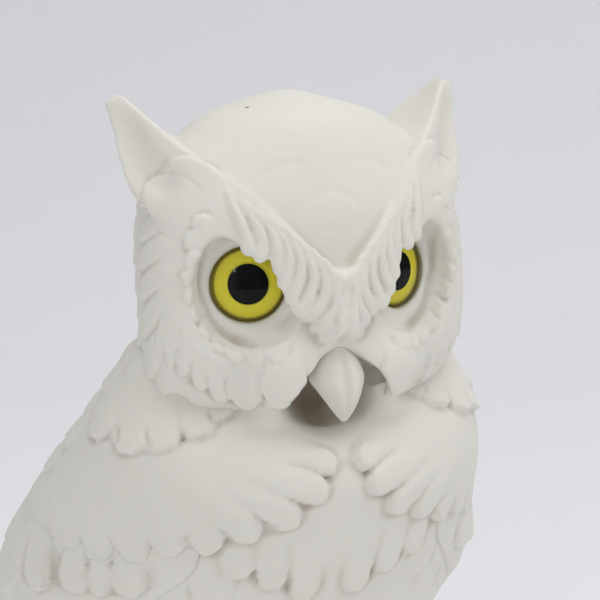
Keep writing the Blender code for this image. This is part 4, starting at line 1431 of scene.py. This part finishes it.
def build_foot(name, side, paint):
    """Foot skin: feathered leg, ringed toes and smooth talons."""
    points, quads = foot_field().mesh()
    relief = Relief(relaxed(points, neighbours(quads), FOOT_RELAX), quads)
    middle = np.array((FOOT_X, FOOT_Y, 0.0))
    length, half, rise = LEG_FEATHER
    for row, height in enumerate(LEG_ROWS):
        for k in range(LEG_COUNT):
            angle = 2 * math.pi * (k + 0.5 * row) / LEG_COUNT
            spread = np.array((math.cos(angle), math.sin(angle), 0)) * LEG_REACH
            root = middle + spread + UP * (height + length)
            relief.feather(root, middle + spread * LEG_TUCK + UP * height, half, rise)
    points = sided(relief.applied(), side)
    add_skin(name, points, quads if side > 0 else quads[:, ::-1], paint)


def stump_wave(turn):
    """Flutes and slow sway of the stump's outline at a turn round it."""
    amount, count, shift = STUMP_SWAY
    return np.sin(STUMP_FLUTES * turn) + amount * np.sin(count * turn + shift)


def stump_reach(share, turn):
    """Radius of the stump's side at a share of its height."""
    return STUMP_RADIUS + STUMP_FLARE * (1 - share) ** 2 + STUMP_FLUTE_DEPTH * stump_wave(turn)


def build_stump(paint):
    """Stump skin: fluted bark with wandering grooves and a domed top."""
    turn = 2 * math.pi * np.arange(STUMP_AROUND) / STUMP_AROUND
    shoulder = STUMP_TOP - STUMP_SHOULDER
    levels = []
    for share in np.linspace(0, 1, STUMP_SIDE_RINGS):
        levels.append((stump_reach(share, turn), STUMP_FLOOR + (shoulder - STUMP_FLOOR) * share))
    wave = STUMP_FLUTE_DEPTH * stump_wave(turn)
    for share in STUMP_TOP_SHARES:
        if share < 0.5:
            reach = (STUMP_RADIUS + wave) * math.sqrt(1 - share ** 2)
        else:
            reach = (STUMP_RADIUS + wave * (1 - share)) * 2 * STUMP_INSET * (1 - share)
        rise = STUMP_ROUNDING * math.sin(0.5 * math.pi * min(share * STUMP_ROUNDING_RATE, 1.0))
        levels.append((reach, shoulder + rise + STUMP_CROWN * share))
    rings = []
    for reach, height in levels:
        level = np.full(STUMP_AROUND, height)
        rings.append(np.stack([reach * np.cos(turn), reach * np.sin(turn), level], -1))
    points, quads = loft_quads(rings)
    quads = outward(points, quads)
    relief = Relief(points, quads)
    dice = np.random.default_rng(BARK_SEED)
    for k in range(BARK_COUNT):
        angle = 2 * math.pi * (k + BARK_JITTER * dice.random()) / BARK_COUNT
        first = dice.uniform(*BARK_FIRST)
        path = []
        for share in np.linspace(first, first + dice.uniform(*BARK_LENGTH), BARK_STEPS):
            angle += dice.normal(0, BARK_WANDER)
            reach = stump_reach(share, angle)
            path.append((reach * math.cos(angle), reach * math.sin(angle), STUMP_FLOOR + BARK_TALL * share))
        relief.groove(path, BARK_WIDTH, dice.uniform(*BARK_DEPTH), gentle=BARK_GENTLE)
    add_skin("stump", relief.applied(), quads, paint)


def spun(profile, side):
    """Points and quads of a solid turned about an eye's axis."""
    centre, right, up, look = eye_axes(side)
    angles = 2 * math.pi * np.arange(EYE_SEGMENTS) / EYE_SEGMENTS
    out = np.cos(angles)[:, None] * right + np.sin(angles)[:, None] * up
    return loft_quads([centre + look * along + radius * out for radius, along in profile])


def build_eyes(nodes):
    """Glass dome, iris and pupil of both eyes, and the finish of their putty."""
    glass = glass_material()
    black = plain_material("pupil_black", PUPIL_COLOUR, PUPIL_ROUGHNESS, specular=PUPIL_SPECULAR)
    yellow = iris_material()
    outer = EYE_APERTURE / 2 - DOME_PLAY
    dome = [(EYE_FLANGE / 2, along) for along in DOME_FLANGE] + [(outer, 0.0)]
    for angle in DOME_ANGLES:
        dome.append((outer * math.cos(angle), DOME_BASE + DOME_RISE * math.sin(angle)))
    disc = [(IRIS_RADII[0], IRIS_BACK)]
    for radius in IRIS_RADII:
        disc.append((radius, IRIS_FRONT - IRIS_SLOPE * radius))
    for side, name in zip(SIDES, ("left", "right")):
        piece = add_piece(name + "_eye_dome", *spun(dome, side), glass, name + "_eye_glass")
        points, quads = spun(disc, side)
        piece = add_piece(name + "_eye_enamel", points, quads, yellow, name + "_eye_iris")
        centre, right, up, _ = eye_axes(side)
        rel = points - centre
        share = np.sqrt((rel @ right) ** 2 + (rel @ up) ** 2) / IRIS_RADII[0]
        layer = piece.data.attributes.new("rim", "FLOAT", "POINT")
        layer.data.foreach_set("value", share.astype(np.float32))
        piece = add_piece(name + "_eye_black", *spun(PUPIL_PROFILE, side), black, name + "_eye_pupil")
        repaint(nodes[name + "_eye_putty"], plain_material(name + "_putty", **PUTTY))


def build_backdrop():
    """Pale floor that sweeps up into a backdrop."""
    profile = [(FLOOR_NEAR, 0.0), (FLOOR_FAR, 0.0)]
    for angle in np.linspace(0, math.pi / 2, SWEEP_STEPS):
        depth = FLOOR_FAR + SWEEP_RADIUS * math.sin(angle)
        profile.append((depth, SWEEP_RADIUS - SWEEP_RADIUS * math.cos(angle)))
    profile.append((FLOOR_FAR + SWEEP_RADIUS, BACKDROP_TOP))
    turn = math.radians(VIEW_AZIMUTH)
    along = np.array((-math.sin(turn), math.cos(turn), 0))
    across = np.array((math.cos(turn), math.sin(turn), 0))
    points = []
    for depth, height in profile:
        for wide in (-BACKDROP_HALF, BACKDROP_HALF):
            points.append(tuple(along * depth + across * wide + UP * height))
    faces = [(2 * k, 2 * k + 1, 2 * k + 3, 2 * k + 2) for k in range(len(profile) - 1)]
    mesh = bpy.data.meshes.new("backdrop")
    mesh.from_pydata(points, [], faces)
    mesh.polygons.foreach_set("use_smooth", np.ones(len(mesh.polygons), bool))
    mesh.materials.append(plain_material("backdrop_paper", **PAPER))
    backdrop = bpy.data.objects.new("backdrop", mesh)
    bpy.context.scene.collection.objects.link(backdrop)


def aimed(name, data, place, way):
    """Light or camera at a place, looking along a way."""
    made = bpy.data.objects.new(name, data)
    made.location = place
    made.rotation_euler = way.to_track_quat("-Z", "Y").to_euler()
    bpy.context.scene.collection.objects.link(made)
    return made


def build_stage():
    """Backdrop, soft lights, sky and the camera."""
    build_backdrop()
    scene = bpy.context.scene
    target = Vector(VIEW_TARGET) * MM
    for name, place, size, power in LIGHTS:
        lamp = bpy.data.lights.new(name, "AREA")
        lamp.size = size
        lamp.energy = power
        aimed(name, lamp, place, target - Vector(place))
    world = bpy.data.worlds.new("studio")
    world.use_nodes = True
    tree = world.node_tree
    split = add_node(tree, "SeparateXYZ", {"Vector": add_node(tree, "TexCoord", {}).outputs["Generated"]})
    colour = add_ramp(tree, split.outputs["Z"], SKY_STOPS)
    fill_inputs(tree, tree.nodes["Background"], {"Color": colour, "Strength": SKY_STRENGTH})
    scene.world = world
    camera = bpy.data.cameras.new("camera")
    camera.sensor_width = SENSOR_MM
    camera.lens = SENSOR_MM * VIEW_PIXELS_PER_MM * VIEW_DISTANCE / IMAGE_SIZE
    back = Vector(camera_axes()[2])
    scene.camera = aimed("camera", camera, target + back * (VIEW_DISTANCE * MM), -back)
    scene.view_settings.view_transform = "Standard"


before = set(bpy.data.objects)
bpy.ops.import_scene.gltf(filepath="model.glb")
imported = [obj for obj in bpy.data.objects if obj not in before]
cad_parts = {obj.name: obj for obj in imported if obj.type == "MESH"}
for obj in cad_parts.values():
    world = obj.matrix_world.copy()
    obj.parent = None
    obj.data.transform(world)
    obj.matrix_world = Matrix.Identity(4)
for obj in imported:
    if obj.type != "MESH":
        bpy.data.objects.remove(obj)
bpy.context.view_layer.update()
bisque = bisque_material()
build_head(bisque)
build_torso(bisque)
build_beak(bisque)
placed = []
for side, name in ((-1, "right"), (1, "left")):
    placed = build_wing(name + "_wing", side, bisque, placed)
    build_foot(name + "_foot", side, bisque)
build_tail(bisque)
build_stump(bisque)
build_eyes(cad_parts)
repaint(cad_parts["felt_pad"], plain_material("felt_green", **FELT))
build_stage()
